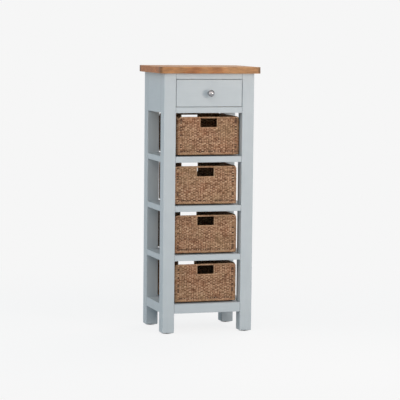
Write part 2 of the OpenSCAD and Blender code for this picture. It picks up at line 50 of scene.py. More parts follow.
# Settings of a Mix node that blends two colours, and of one that tints the first
BLEND = {"data_type": "RGBA"}
TINT = {"data_type": "RGBA", "blend_type": "MULTIPLY"}
SMOOTH = {"interpolation_type": "SMOOTHSTEP"}
# Where most values of a noise lie
NOISE = {"From Min": 0.3, "From Max": 0.7}
# Below 1, this makes the crown of a cord broad and the groove beside it narrow
CROWN_POWER = 0.7
# Girth of a squarish cord, over the sum of its two widths
GIRTH = 1.6
# Each basket adds its own number to this
SEED = 100
CELL_CORNERS = np.array([[0, 0], [1, 0], [1, 1], [0, 1]])

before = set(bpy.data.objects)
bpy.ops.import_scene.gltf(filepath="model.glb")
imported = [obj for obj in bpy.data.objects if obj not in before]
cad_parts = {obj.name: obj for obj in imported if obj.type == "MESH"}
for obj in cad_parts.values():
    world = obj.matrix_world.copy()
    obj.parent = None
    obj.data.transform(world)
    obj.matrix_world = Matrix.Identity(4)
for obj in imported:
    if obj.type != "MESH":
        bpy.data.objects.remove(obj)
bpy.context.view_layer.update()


class Grain(Enum):
    """Direction in which the fibres of a board or post run."""

    ALONG_X = 0
    ALONG_Y = 1
    ALONG_Z = 2

    def scale(self, across: float, along: float) -> Place:
        """Pattern scale per metre that gives marks of a real size.

        Args:
            across: width of a mark over the grain, in mm.
            along: length of a mark along the grain, in mm.

        Returns:
            The scale for X, Y and Z.
        """
        scale = [1 / (across * MM)] * 3
        scale[self.value] = 1 / (along * MM)
        return tuple(scale)


# Helpers that every material shares


def linear(code: str) -> tuple[float, float, float, float]:
    """Turns an sRGB colour such as #BFC5C8 into linear RGBA.

    Args:
        code: the colour as six hex digits after a hash.

    Returns:
        Linear red, green, blue and an alpha of 1.
    """
    values = [int(code[i : i + 2], 16) / 255 for i in (1, 3, 5)]
    rgb = [v / 12.92 if v <= 0.04045 else ((v + 0.055) / 1.055) ** 2.4 for v in values]
    return (*rgb, 1.0)


def feed(tree: bpy.types.NodeTree, node: bpy.types.Node, inputs: dict[Any, Any]) -> None:
    """Sets or links the inputs of a node.

    Args:
        tree: the node tree that holds it.
        node: the node.
        inputs: input name or number, with a value, the socket that feeds it, or a node
            that feeds it from its first output in use.
    """
    for key, value in inputs.items():
        if isinstance(value, bpy.types.Node):
            value = next(socket for socket in value.outputs if socket.enabled)
        if isinstance(value, bpy.types.NodeSocket):
            tree.links.new(value, node.inputs[key])
        else:
            node.inputs[key].default_value = value


def add_node(tree: bpy.types.NodeTree, kind: str, inputs: dict[Any, Any] | None = None,
             **settings: Any) -> bpy.types.Node:
    """Adds a shader node with its settings and links.

    Args:
        tree: the material's or world's node tree.
        kind: the node's type without its ShaderNode prefix.
        inputs: its inputs, as feed takes them.
        settings: the node's own properties.

    Returns:
        The new node.
    """
    node = tree.nodes.new("ShaderNode" + kind)
    for name, value in settings.items():
        setattr(node, name, value)
    feed(tree, node, inputs or {})
    return node


def blank_material(name: str) -> tuple[bpy.types.Material, bpy.types.NodeTree, bpy.types.Node]:
    """Makes a material that holds one Principled shader.

    Args:
        name: the material's name.

    Returns:
        The material, its node tree and the shader.
    """
    material = bpy.data.materials.new(name)
    material.use_nodes = True
    tree = material.node_tree
    return material, tree, tree.nodes["Principled BSDF"]


def seen_directly(tree: bpy.types.NodeTree) -> bpy.types.Node:
    """Tells rays of the camera, reflections and clear glass from rays that carry light.

    Args:
        tree: the node tree of a backdrop.

    Returns:
        A node that gives 1 for a ray that shows the backdrop, and 0 for one that lights.
    """
    ray = add_node(tree, "LightPath")
    shown = ray.outputs["Is Camera Ray"]
    for name in ("Is Glossy Ray", "Is Transmission Ray"):
        shown = add_node(tree, "Math", {0: shown, 1: ray.outputs[name]}, operation="MAXIMUM")
    return shown


class Finish(Protocol):
    """Anything that can make a material."""

    def material(self) -> bpy.types.Material:
        """Makes the material."""
        ...


# The finishes


@dataclass(frozen=True)
class EggshellPaintedPine:
    """Water-based eggshell paint brushed on sanded pine.

    To the eye it is a soft, low sheen with faint brush marks along each board, and a little
    paler where the brush thins out over an edge.
    """

    grain: Grain
    coat: str = "#BDC7CC"
    thick: str = "#B3BEC4"
    thin: str = "#D3D8DA"
    roughness: float = 0.5
    gloss: float = 0.2
    # Width and length of a brush mark, and of a growth line that shows through the paint
    brush: Span = (1.6, 120.0)
    growth: Span = (5.0, 260.0)
    # How dark and how pale the brush marks are, and how dull and how shiny
    streaks: Span = (0.965, 1.03)
    sheen: Span = (-0.07, 0.09)
    # Size of the patches where the coat lies thick or thin
    patch: float = 60.0
    # Radius of the edges where the coat thins, how far it does, and the cosines of the
    # rounding where that starts and is complete
    edge: float = 1.8
    wear: float = 0.55
    wear_turn: Span = (0.98, 0.80)
    # Half width of the dark line at a joint, its soft edge and its tone. It is a crack in the
    # paint and painted shade in the joint. A real crack is a hair, too fine to show, so this line
    # is wider and not as dark
    joint_line: float = 0.7
    joint_line_edge: float = 0.3
    joint_line_tone: float = 0.3
    # Strength and depth of the relief of the growth lines and of the brush marks
    growth_relief: Span = (0.10, 0.3)
    brush_relief: Span = (0.16, 0.15)

    def _joint_shade(self, tree: bpy.types.NodeTree, where: bpy.types.NodeSocket
                     ) -> bpy.types.Node:
        """Draws the dark line where a board meets the posts at its ends: a crack in the paint and
        painted shade in the joint.

        Args:
            tree: the material's node tree.
            where: the place of the shaded point.

        Returns:
            A node that gives 1 away from the joint.
        """
        along = self.grain.value
        far_post = "front_right_post" if self.grain is Grain.ALONG_X else "back_left_post"
        low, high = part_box("front_left_post")[1][along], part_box(far_post)[0][along]
        xyz = add_node(tree, "SeparateXYZ", {0: where})
        off = add_node(tree, "Math", {0: xyz.outputs[along], 1: (low + high) / 2},
            operation="SUBTRACT")
        reach = add_node(tree, "Math", {0: off}, operation="ABSOLUTE")
        near = add_node(tree, "Math", {0: reach, 1: (high - low) / 2}, operation="SUBTRACT")
        gap = add_node(tree, "Math", {0: near}, operation="ABSOLUTE")
        return add_node(tree, "MapRange", {"Value": gap, "From Min": self.joint_line * MM,
            "From Max": (self.joint_line + self.joint_line_edge) * MM, "To Min": self.joint_line_tone})

    @functools.cache
    def material(self) -> bpy.types.Material:
        """Brushes the paint on.

        Returns:
            The material.
        """
        material, tree, shader = blank_material("eggshell_painted_pine_" + self.grain.name.lower())
        where = add_node(tree, "TexCoord").outputs["Object"]
        strokes = add_node(tree, "Mapping", {"Vector": where,
            "Scale": self.grain.scale(*self.brush)})
        brush = add_node(tree, "TexNoise", {"Vector": strokes, "Scale": 1.0, "Detail": 3.0,
            "Roughness": 0.6})
        board = add_node(tree, "Mapping", {"Vector": where,
            "Scale": self.grain.scale(*self.growth)})
        growth = add_node(tree, "TexNoise", {"Vector": board, "Scale": 1.0, "Detail": 4.0,
            "Distortion": 0.4})
        patch = add_node(tree, "TexNoise", {"Vector": where, "Scale": 1 / (self.patch * MM),
            "Detail": 2.0})
        coat = add_node(tree, "Mix", {0: patch, 6: linear(self.thick), 7: linear(self.coat)},
            **BLEND)
        # The coat is thin where a rounded normal differs from the face's own
        bevel = add_node(tree, "Bevel", {"Radius": self.edge * MM}, samples=4)
        face = add_node(tree, "NewGeometry").outputs["True Normal"]
        turn = add_node(tree, "VectorMath", {0: bevel, 1: face}, operation="DOT_PRODUCT")
        worn = add_node(tree, "MapRange", {"Value": turn, "From Min": self.wear_turn[0],
            "From Max": self.wear_turn[1], "To Max": self.wear})
        colour = add_node(tree, "Mix", {0: worn, 6: coat, 7: linear(self.thin)}, **BLEND)
        shade = add_node(tree, "MapRange", {"Value": brush, **NOISE,
            "To Min": self.streaks[0], "To Max": self.streaks[1]})
        # Boards take the crack and painted shade of their joints with the posts
        if self.grain is not Grain.ALONG_Z:
            shade = add_node(tree, "Math", {0: shade, 1: self._joint_shade(tree, where)},
                operation="MULTIPLY")
        shaded = add_node(tree, "Mix", {0: 1.0, 6: colour, 7: shade}, **TINT)
        sheen = add_node(tree, "MapRange", {"Value": brush,
            "To Min": self.roughness + self.sheen[0], "To Max": self.roughness + self.sheen[1]})
        lines = add_node(tree, "Bump", {"Height": growth,
            "Strength": self.growth_relief[0], "Distance": self.growth_relief[1] * MM})
        bump = add_node(tree, "Bump", {"Height": brush,
            "Strength": self.brush_relief[0], "Distance": self.brush_relief[1] * MM,
            "Normal": lines})
        feed(tree, shader, {"Base Color": shaded, "Roughness": sheen,
            "Specular IOR Level": self.gloss, "Normal": bump})
        return material


@dataclass(frozen=True)
class OiledOak:
    """Edge-glued oak staves, planed, sanded and oiled.

    To the eye it has dark porous spring wood in lines along each stave, arcs and dots on the
    end grain, small tone steps from stave to stave, and a satin sheen.
    """

    pale: str = "#D19F6C"
    mid: str = "#A9713D"
    dark: str = "#764C27"
    end_tint: str = "#EBDBC8"
    heart: str = "#E4CAB4"
    roughness: float = 0.45
    dull: float = 0.12
    gloss: float = 0.3
    staves: int = 3
    # Width of a year's ring, the share of it that is spring wood, and the pith's depth
    ring: float = 3.4
    spring: float = 0.55
    pith_below: float = 95.0
    # Width and length of a wander of the rings, and how far they wander
    wander: Span = (90.0, 700.0)
    wander_by: float = 9.0
    # Width and length of a fibre, a pore, a cloud of tone and a patch of heart wood
    fibre: Span = (0.8, 60.0)
    pore: Span = (0.9, 11.0)
    cloud: Span = (11.0, 48.0)
    heart_patch: Span = (60.0, 75.0)
    # Darkest and palest tone of the fibres, the clouds and the staves, and of a glue line
    fibre_tone: Span = (0.86, 1.08)
    cloud_tone: Span = (0.74, 1.16)
    stave_tone: Span = (0.93, 1.05)
    glue_tone: float = 0.75
    # Values of the noise where a pore opens, and between which a cloud is drawn
    pore_noise: Span = (0.57, 0.70)
    cloud_noise: Span = (0.36, 0.64)
    # How far a face turns to the end before it is end grain, and where in a stave its glue
    # line lies, as shares of the stave's width from its middle
    end_turn: Span = (0.6, 0.95)
    glue_line: Span = (0.4965, 0.4985)
    # Where in the noise the heart wood starts, the values it uses there, its share at the
    # left, and its spread
    heart_from: float = 3.5
    heart_noise: Span = (0.35, 0.65)
    heart_left: float = 0.75
    heart_spread: float = 0.4
    # How far the painted shade at the upright corners reaches, along X and Y, and how dark it gets
    corner_shade_reach: Span = (13.0, 36.0)
    corner_shade_tone: float = 0.5
    # Strength and depth of the relief of the pores and of the fibres
    pore_relief: Span = (0.5, 0.2)
    fibre_relief: Span = (0.2, 0.12)

    def _spring_wood(self, tree: bpy.types.NodeTree, where: bpy.types.NodeSocket,
                     part: bpy.types.Node, chance: bpy.types.Node) -> bpy.types.Node:
        """Draws the spring wood of the rings, round a pith that lies below each stave.

        Args:
            tree: the material's node tree.
            where: the place of the shaded point.
            part: how far over its stave the point lies, from 0 to 1.
            chance: the stave's own random number.

        Returns:
            A node that gives 1 where a ring starts, and fades to 0.
        """
        low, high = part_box("oak_top")
        waves = add_node(tree, "Mapping", {"Vector": where,
            "Scale": Grain.ALONG_X.scale(*self.wander)})
        bend = add_node(tree, "TexNoise", {"Vector": waves, "Scale": 1.0, "Detail": 2.0,
            "W": chance}, noise_dimensions="4D")
        drift = add_node(tree, "MapRange", {"Value": bend, "To Min": -self.wander_by * MM,
            "To Max": self.wander_by * MM}, clamp=False)
        across = add_node(tree, "Math", {0: part, 1: chance}, operation="SUBTRACT")
        off = add_node(tree, "Math", {0: across, 1: (high.y - low.y) / self.staves},
            operation="MULTIPLY")
        height = add_node(tree, "SeparateXYZ", {0: where}).outputs[2]
        rise = add_node(tree, "Math", {0: height, 1: low.z - self.pith_below * MM},
            operation="SUBTRACT")
        spot = add_node(tree, "CombineXYZ", {0: off, 1: rise})
        reach = add_node(tree, "VectorMath", {0: spot}, operation="LENGTH")
        radius = add_node(tree, "Math", {0: reach, 1: drift}, operation="ADD")
        rings = add_node(tree, "Math", {0: radius, 1: 1 / (self.ring * MM)},
            operation="MULTIPLY")
        year = add_node(tree, "Math", {0: rings}, operation="FRACT")
        return add_node(tree, "MapRange", {"Value": year, "From Max": self.spring,
            "To Min": 1.0, "To Max": 0.0}, **SMOOTH)

    def _heart_wood(self, tree: bpy.types.NodeTree, where: bpy.types.NodeSocket
                    ) -> bpy.types.Node:
        """Tints the heart wood at the left end redder than the sap wood at the right.

        Args:
            tree: the material's node tree.
            where: the place of the shaded point.

        Returns:
            The tint.
        """
        low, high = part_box("oak_top")
        patches = add_node(tree, "Mapping", {"Vector": where,
            "Location": (self.heart_from, 0.0, 0.0),
            "Scale": Grain.ALONG_X.scale(*self.heart_patch)})
        heart = add_node(tree, "TexNoise", {"Vector": patches, "Scale": 1.0, "Detail": 1.0})
        patch = add_node(tree, "MapRange", {"Value": heart, "From Min": self.heart_noise[0],
            "From Max": self.heart_noise[1], "To Min": -self.heart_spread,
            "To Max": self.heart_spread})
        across = add_node(tree, "SeparateXYZ", {0: where}).outputs[0]
        along = add_node(tree, "MapRange", {"Value": across, "From Min": low.x / 2,
            "From Max": high.x, "To Min": self.heart_left, "To Max": 0.0})
        redder = add_node(tree, "Math", {0: along, 1: patch}, operation="ADD", use_clamp=True)
        return add_node(tree, "Mix", {0: redder, 6: linear(WHITE), 7: linear(self.heart)},
            **BLEND)

    def _end_grain(self, tree: bpy.types.NodeTree, facing: bpy.types.NodeSocket
                   ) -> bpy.types.Node:
        """Tints the end grain, which drinks more oil than the faces and turns darker.

        Args:
            tree: the material's node tree.
            facing: the normal of the shaded point.

        Returns:
            The tint.
        """
        across = add_node(tree, "SeparateXYZ", {0: facing}).outputs[0]
        side = add_node(tree, "Math", {0: across}, operation="ABSOLUTE")
        end = add_node(tree, "MapRange", {"Value": side, "From Min": self.end_turn[0],
            "From Max": self.end_turn[1]})
        return add_node(tree, "Mix", {0: end, 6: linear(WHITE), 7: linear(self.end_tint)},
            **BLEND)

    def _glue_lines(self, tree: bpy.types.NodeTree, part: bpy.types.Node) -> bpy.types.Node:
        """Draws the thin glue line where two staves meet.

        Args:
            tree: the material's node tree.
            part: how far over its stave the point lies, from 0 to 1.

        Returns:
            A node that gives 1 away from the glue.
        """
        off = add_node(tree, "Math", {0: part, 1: 0.5}, operation="SUBTRACT")
        near = add_node(tree, "Math", {0: off}, operation="ABSOLUTE")
        return add_node(tree, "MapRange", {"Value": near, "From Min": self.glue_line[0],
            "From Max": self.glue_line[1], "To Min": 1.0, "To Max": self.glue_tone})

    def _painted_corner_shade(self, tree: bpy.types.NodeTree, where: bpy.types.NodeSocket
                        ) -> bpy.types.Node:
        """Paints shade on the upright corners of the top.

        Args:
            tree: the material's node tree.
            where: the place of the shaded point.

        Returns:
            A node that gives 1 away from the corners.
        """
        low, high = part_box("oak_top")
        xyz = add_node(tree, "SeparateXYZ", {0: where})
        corner: Any = 1.0
        for axis, width in enumerate(self.corner_shade_reach):
            half = (high[axis] - low[axis]) / 2
            off = add_node(tree, "Math", {0: xyz.outputs[axis],
                1: (low[axis] + high[axis]) / 2}, operation="SUBTRACT")
            reach = add_node(tree, "Math", {0: off}, operation="ABSOLUTE")
            end = add_node(tree, "MapRange", {"Value": reach, "From Min": half - width * MM,
                "From Max": half - width / 2 * MM})
            corner = add_node(tree, "Math", {0: corner, 1: end}, operation="MULTIPLY")
        return add_node(tree, "MapRange", {"Value": corner, "To Min": 1.0,
            "To Max": self.corner_shade_tone})

    @functools.cache
    def material(self) -> bpy.types.Material:
        """Glues up, planes and oils the staves.

        Returns:
            The material.
        """
        low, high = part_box("oak_top")
        material, tree, shader = blank_material("oiled_oak")
        coords = add_node(tree, "TexCoord")
        where = coords.outputs["Object"]
        # Which stave a point is in, how far over it, and the stave's own random number
        depth = add_node(tree, "SeparateXYZ", {0: where}).outputs[1]
        along = add_node(tree, "MapRange", {"Value": depth, "From Min": low.y,
            "From Max": high.y, "To Max": float(self.staves)}, clamp=False)
        index = add_node(tree, "Math", {0: along}, operation="FLOOR")
        part = add_node(tree, "Math", {0: along, 1: index}, operation="SUBTRACT")
        chance = add_node(tree, "TexWhiteNoise", {"W": index}, noise_dimensions="1D")
        spring = self._spring_wood(tree, where, part, chance)
        marks = []
        for size, detail, roughness in ((self.fibre, 3.0, 0.5), (self.pore, 1.0, 0.5),
                                        (self.cloud, 3.0, 0.6)):
            stave = add_node(tree, "Mapping", {"Vector": where,
                "Scale": Grain.ALONG_X.scale(*size)})
            marks.append(add_node(tree, "TexNoise", {"Vector": stave, "Scale": 1.0,
                "Detail": detail, "Roughness": roughness}))
        fibre, pore, cloud = marks
        pits = add_node(tree, "MapRange", {"Value": pore, "From Min": self.pore_noise[0],
            "From Max": self.pore_noise[1]})
        open_pits = add_node(tree, "Math", {0: pits, 1: spring}, operation="MULTIPLY")
        wood = add_node(tree, "Mix", {0: spring, 6: linear(self.pale), 7: linear(self.mid)},
            **BLEND)
        porous = add_node(tree, "Mix", {0: open_pits, 6: wood, 7: linear(self.dark)}, **BLEND)
        fine = add_node(tree, "MapRange", {"Value": fibre, **NOISE,
            "To Min": self.fibre_tone[0], "To Max": self.fibre_tone[1]})
        cloudy = add_node(tree, "MapRange", {"Value": cloud, "From Min": self.cloud_noise[0],
            "From Max": self.cloud_noise[1], "To Min": self.cloud_tone[0],
            "To Max": self.cloud_tone[1]})
        toned = add_node(tree, "MapRange", {"Value": chance, "To Min": self.stave_tone[0],
            "To Max": self.stave_tone[1]})
        # The upright corners of the top take painted shade
        shade = fine
        for tone in (cloudy, toned, self._glue_lines(tree, part),
                     self._painted_corner_shade(tree, where)):
            shade = add_node(tree, "Math", {0: shade, 1: tone}, operation="MULTIPLY")
        colour = porous
        for tint in (shade, self._end_grain(tree, coords.outputs["Normal"]),
                     self._heart_wood(tree, where)):
            colour = add_node(tree, "Mix", {0: 1.0, 6: colour, 7: tint}, **TINT)
        sheen = add_node(tree, "MapRange", {"Value": spring, "To Min": self.roughness,
            "To Max": self.roughness + self.dull})
        relief = add_node(tree, "Math", {0: open_pits, 1: -1.0}, operation="MULTIPLY")
        dents = add_node(tree, "Bump", {"Height": relief,
            "Strength": self.pore_relief[0], "Distance": self.pore_relief[1] * MM})
        bump = add_node(tree, "Bump", {"Height": fibre,
            "Strength": self.fibre_relief[0], "Distance": self.fibre_relief[1] * MM,
            "Normal": dents})
        feed(tree, shader, {"Base Color": colour, "Roughness": sheen,
            "Specular IOR Level": self.gloss, "Normal": bump})
        return material


@dataclass(frozen=True)
class PlanedPine:
    """Bare pine, planed and unsealed.

    To the eye it is pale and matt, with warm growth lines and a fine fibre along the board.
    """

    grain: Grain
    pale: str = "#DEC69C"
    line: str = "#C79F68"
    roughness: float = 0.62
    # Width and length of a figure in the wood, and how many growth lines cross it
    figure: Span = (12.1, 420.0)
    lines: float = 9.0
    # How strong the late wood shows, and from which share of a year
    late: float = 0.85
    late_from: float = 0.35
    # Width and length of a fibre, its darkest and palest tone, and its relief's strength
    # and depth
    fibre: Span = (0.7, 45.0)
    fibre_tone: Span = (0.9, 1.05)
    fibre_relief: Span = (0.25, 0.15)

    @functools.cache
    def material(self) -> bpy.types.Material:
        """Planes the board.

        Returns:
            The material.
        """
        material, tree, shader = blank_material("planed_pine_" + self.grain.name.lower())
        where = add_node(tree, "TexCoord").outputs["Object"]
        board = add_node(tree, "Mapping", {"Vector": where,
            "Scale": self.grain.scale(*self.figure)})
        figure = add_node(tree, "TexNoise", {"Vector": board, "Scale": 1.0, "Detail": 1.0,
            "Distortion": 0.6})
        threads = add_node(tree, "Mapping", {"Vector": where,
            "Scale": self.grain.scale(*self.fibre)})
        fibre = add_node(tree, "TexNoise", {"Vector": threads, "Scale": 1.0, "Detail": 3.0})
        bands = add_node(tree, "Math", {0: figure, 1: self.lines}, operation="MULTIPLY")
        year = add_node(tree, "Math", {0: bands}, operation="FRACT")
        late = add_node(tree, "MapRange", {"Value": year, "From Min": self.late_from,
            "To Max": self.late})
        wood = add_node(tree, "Mix", {0: late, 6: linear(self.pale), 7: linear(self.line)},
            **BLEND)
        fine = add_node(tree, "MapRange", {"Value": fibre, **NOISE,
            "To Min": self.fibre_tone[0], "To Max": self.fibre_tone[1]})
        colour = add_node(tree, "Mix", {0: 1.0, 6: wood, 7: fine}, **TINT)
        bump = add_node(tree, "Bump", {"Height": fibre,
            "Strength": self.fibre_relief[0], "Distance": self.fibre_relief[1] * MM})
        feed(tree, shader, {"Base Color": colour, "Roughness": self.roughness,
            "Normal": bump})
        return material


@dataclass(frozen=True)
class PlaitedSeagrass:
    """Dried seagrass, twisted into cord and plaited.

    To the eye it is straw brown with olive and red-brown cords, a twist line across each cord, a
    dull sheen on its crowns, and gaps between them darkened with dirt and painted shade. The
    meshes carry three layers that it reads: "tone" for each cord's own shade, "crown" from gap to
    crown, which also sets how much of that dirt and painted shade a point takes, and a UV map in
    centimetres that runs along each cord.
    """

    pale: str = "#D2B18F"
    mid: str = "#A87F5F"
    dark: str = "#653F27"
    olive: str = "#A08A66"
    russet: str = "#A86E4C"
    # Dirt and painted shade in the gaps between cords
    gap: str = "#342014"
    roughness: float = 0.68
    gloss: float = 0.35
    # Length and width of a fibre
    fibre: Span = (14.0, 0.7)
    # Unit of the twist pattern and scale of its wave. Together they draw a line for every
    # 5.9 mm of cord, which is coarser than on a real one, so that the lines show
    twist: float = 3.0
    twist_wave: float = 0.32
    # How far the lines wander, and their slope from straight across the cord
    twist_wander: float = 1.4
    lean: float = 0.7
    # Size of the olive and russet patches, how strong they are, and the values of the
    # noise where each starts and is complete
    patch: float = 75.0
    patch_share: float = 0.3
    olive_noise: Span = (0.48, 0.66)
    russet_noise: Span = (0.46, 0.30)
    # The tone of a cord of middling shade, and how high on a cord, from gap to crown, the dirt and
    # painted shade of its gap reach
    middling: float = 0.45
    gap_top: float = 0.7
    # Darkest and palest tone of the fibres and of the twist lines, and the values of the
    # noise that the fibres use
    fibre_tone: Span = (0.7, 1.2)
    twist_tone: Span = (0.7, 1.12)
    fibre_noise: Span = (0.25, 0.75)
    # Strength and depth of the relief of the twist lines and of the fibres
    twist_relief: Span = (0.5, 0.35)
    fibre_relief: Span = (0.5, 0.25)

    @functools.cache
    def material(self) -> bpy.types.Material:
        """Dries, twists and plaits the seagrass.

        Returns:
            The material.
        """
        material, tree, shader = blank_material("plaited_seagrass")
        lie = add_node(tree, "UVMap", uv_map="lie").outputs[0]
        where = add_node(tree, "TexCoord").outputs["Object"]
        tone = add_node(tree, "Attribute", attribute_name="tone").outputs["Fac"]
        crown = add_node(tree, "Attribute", attribute_name="crown").outputs["Fac"]
        strands = add_node(tree, "Mapping", {"Vector": lie,
            "Scale": (PER_CM / self.fibre[0], PER_CM / self.fibre[1], 1.0)})
        fibre = add_node(tree, "TexNoise", {"Vector": strands, "Scale": 1.0, "Detail": 2.0},
            noise_dimensions="2D")
        # Twist lines lean by about 35 degrees from straight across the cord
        turns = add_node(tree, "Mapping", {"Vector": lie,
            "Scale": (PER_CM / self.twist, PER_CM / self.twist * self.lean, 1.0)})
        twist = add_node(tree, "TexWave", {"Vector": turns, "Scale": self.twist_wave,
            "Distortion": self.twist_wander, "Detail": 1.0}, wave_type="BANDS",
            bands_direction="DIAGONAL").outputs[1]
        patch = add_node(tree, "TexNoise", {"Vector": where, "Scale": 1 / (self.patch * MM),
            "Detail": 2.0})
        low = add_node(tree, "MapRange", {"Value": tone, "From Max": self.middling})
        high = add_node(tree, "MapRange", {"Value": tone, "From Min": self.middling})
        to_olive, to_russet = (add_node(tree, "MapRange", {"Value": patch,
            "From Min": first, "From Max": last, "To Max": self.patch_share})
            for first, last in (self.olive_noise, self.russet_noise))
        straw: Any = linear(self.dark)
        for share, colour in ((low, self.mid), (high, self.pale), (to_olive, self.olive),
                              (to_russet, self.russet)):
            straw = add_node(tree, "Mix", {0: share, 6: straw, 7: linear(colour)}, **BLEND)
        fine = add_node(tree, "MapRange", {"Value": fibre, "From Min": self.fibre_noise[0],
            "From Max": self.fibre_noise[1], "To Min": self.fibre_tone[0],
            "To Max": self.fibre_tone[1]})
        lines = add_node(tree, "MapRange", {"Value": twist, "To Min": self.twist_tone[0],
            "To Max": self.twist_tone[1]})
        cord = add_node(tree, "Math", {0: fine, 1: lines}, operation="MULTIPLY")
        lit = add_node(tree, "Mix", {0: 1.0, 6: straw, 7: cord}, **TINT)
        # The gaps between cords are darkened with dirt and painted shade
        depth = add_node(tree, "MapRange", {"Value": crown, "From Max": self.gap_top},
            **SMOOTH)
        colour = add_node(tree, "Mix", {0: depth, 6: linear(self.gap), 7: lit}, **BLEND)
        ridges = add_node(tree, "Bump", {"Height": twist,
            "Strength": self.twist_relief[0], "Distance": self.twist_relief[1] * MM})
        bump = add_node(tree, "Bump", {"Height": fibre,
            "Strength": self.fibre_relief[0], "Distance": self.fibre_relief[1] * MM,
            "Normal": ridges})
        feed(tree, shader, {"Base Color": colour, "Roughness": self.roughness,
            "Specular IOR Level": self.gloss, "Normal": bump})
        return material


@dataclass(frozen=True)
class PlatedMetal:
    """Turned or drawn metal under a thin plate, such as satin chrome on brass.

    To the eye it is a neutral grey mirror, blurred a little by fine turning marks. mark is
    their width, along the axis that the metal was turned on, and mark_length their length
    round it.
    """

    name: str
    colour: str
    roughness: float
    mark: float
    mark_length: float = 9.0
    blur: Span = (-0.05, 0.07)
    relief: Span = (0.08, 0.05)

    @functools.cache
    def material(self) -> bpy.types.Material:
        """Turns and plates the metal.

        Returns:
            The material.
        """
        material, tree, shader = blank_material(self.name)
        where = add_node(tree, "TexCoord").outputs["Object"]
        # A mark runs over the axis, so its width is what lies along Y
        turned = add_node(tree, "Mapping", {"Vector": where,
            "Scale": Grain.ALONG_Y.scale(self.mark_length, self.mark)})
        marks = add_node(tree, "TexNoise", {"Vector": turned, "Scale": 1.0, "Detail": 2.0})
        blur = add_node(tree, "MapRange", {"Value": marks,
            "To Min": self.roughness + self.blur[0], "To Max": self.roughness + self.blur[1]})
        bump = add_node(tree, "Bump", {"Height": marks, "Strength": self.relief[0],
            "Distance": self.relief[1] * MM})
        feed(tree, shader, {"Base Color": linear(self.colour), "Metallic": 1.0,
            "Roughness": blur, "Normal": bump})
        return material


@dataclass(frozen=True)
class MouldedNylon:
    """Black nylon, injection moulded with a fine spark-eroded grain.

    To the eye it is near black and matt, with a soft edge highlight.
    """

    colour: str = "#232323"
    roughness: float = 0.5
    ior: float = 1.53
    # Size of the grain, and its relief's strength and depth
    speck: float = 0.6
    relief: Span = (0.3, 0.08)

    @functools.cache
    def material(self) -> bpy.types.Material:
        """Moulds the nylon.

        Returns:
            The material.
        """
        material, tree, shader = blank_material("moulded_black_nylon")
        where = add_node(tree, "TexCoord").outputs["Object"]
        grit = add_node(tree, "TexNoise", {"Vector": where, "Scale": 1 / (self.speck * MM),
            "Detail": 2.0})
        bump = add_node(tree, "Bump", {"Height": grit, "Strength": self.relief[0],
            "Distance": self.relief[1] * MM})
        feed(tree, shader, {"Base Color": linear(self.colour), "Roughness": self.roughness,
            "IOR": self.ior, "Normal": bump})
        return material


SATIN_CHROME = PlatedMetal("satin_chrome_plate", "#9A9B9E", 0.18, 0.5)
ZINC_PLATE = PlatedMetal("bright_zinc_plate", "#BFC1C4", 0.34, 0.6)
DRAWN_WIRE = PlatedMetal("drawn_steel_wire", "#6A6764", 0.45, 0.8)


def dress(names: list[str], finish: Finish) -> None:
    """Gives CAD nodes a finish.

    Args:
        names: the nodes.
        finish: what they are made of.
    """
    for name in names:
        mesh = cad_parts[name].data
        mesh.materials.clear()
        mesh.materials.append(finish.material())


# Meshes of plaited seagrass


def lattice(columns: int, rows: int) -> tuple[np.ndarray, np.ndarray]:
    """Numbers the column and the row of each point of a lattice."""
    return tuple(np.meshgrid(np.arange(columns), np.arange(rows), indexing="ij"))


def cell_lie(columns: int, rows: int, size: np.ndarray) -> np.ndarray:
    """UV corners in mm of the cells of a lattice, each of which is size mm wide and high."""
    return (np.stack(lattice(columns, rows), -1)[:, :, None] + CELL_CORNERS) * size


@dataclass
class Skin:
    """A mesh in mm, with the layers that the seagrass finish reads.

    points has a row per vertex and crown a value for each. quads has four vertex numbers
    per face, lie the four UV pairs in mm, and tone one shade per face.
    """

    points: np.ndarray
    crown: np.ndarray
    quads: np.ndarray
    lie: np.ndarray
    tone: np.ndarray

    @staticmethod
    def joined(skins: "list[Skin]") -> "Skin":
        """Puts several skins into one.

        Args:
            skins: the skins, each with vertex numbers of its own.

        Returns:
            One skin that holds them all.
        """
        starts = np.cumsum([0] + [len(s.points) for s in skins[:-1]])
        return Skin(
            np.concatenate([s.points for s in skins]),
            np.concatenate([s.crown for s in skins]),
            np.concatenate([s.quads + start for s, start in zip(skins, starts)]),
            np.concatenate([s.lie for s in skins]),
            np.concatenate([s.tone for s in skins]))

    def build(self, name: str, place: Matrix) -> bpy.types.Object:
        """Makes the Blender object, without the points that no face uses.

        Args:
            name: the piece's name.
            place: where the middle of the basket's foot goes, in metres.

        Returns:
            The object, with smooth faces and its points where they stand in the cabinet.
        """
        used, quads = np.unique(self.quads, return_inverse=True)
        quads = quads.reshape(-1, 4)
        turn = np.array(place.to_3x3())
        points = self.points[used] * MM @ turn.T + np.array(place.translation)
        mesh = bpy.data.meshes.new(name)
        mesh.vertices.add(len(points))
        mesh.vertices.foreach_set("co", points.astype(np.float32).ravel())
        mesh.loops.add(quads.size)
        mesh.loops.foreach_set("vertex_index", quads.astype(np.int32).ravel())
        mesh.polygons.add(len(quads))
        mesh.polygons.foreach_set("loop_start", np.arange(0, quads.size, 4, dtype=np.int32))
        mesh.update(calc_edges=True)
        mesh.polygons.foreach_set("use_smooth", np.ones(len(quads), bool))
        mesh.uv_layers.new(name="lie").data.foreach_set("uv",
            (self.lie * (1 / PER_CM)).astype(np.float32).ravel())
        mesh.attributes.new("tone", "FLOAT", "FACE").data.foreach_set("value",
            self.tone.astype(np.float32))
        mesh.attributes.new("crown", "FLOAT", "POINT").data.foreach_set("value",
            self.crown[used].astype(np.float32))
        mesh.validate()
        obj = bpy.data.objects.new(name, mesh)
        bpy.context.scene.collection.objects.link(obj)
        return obj


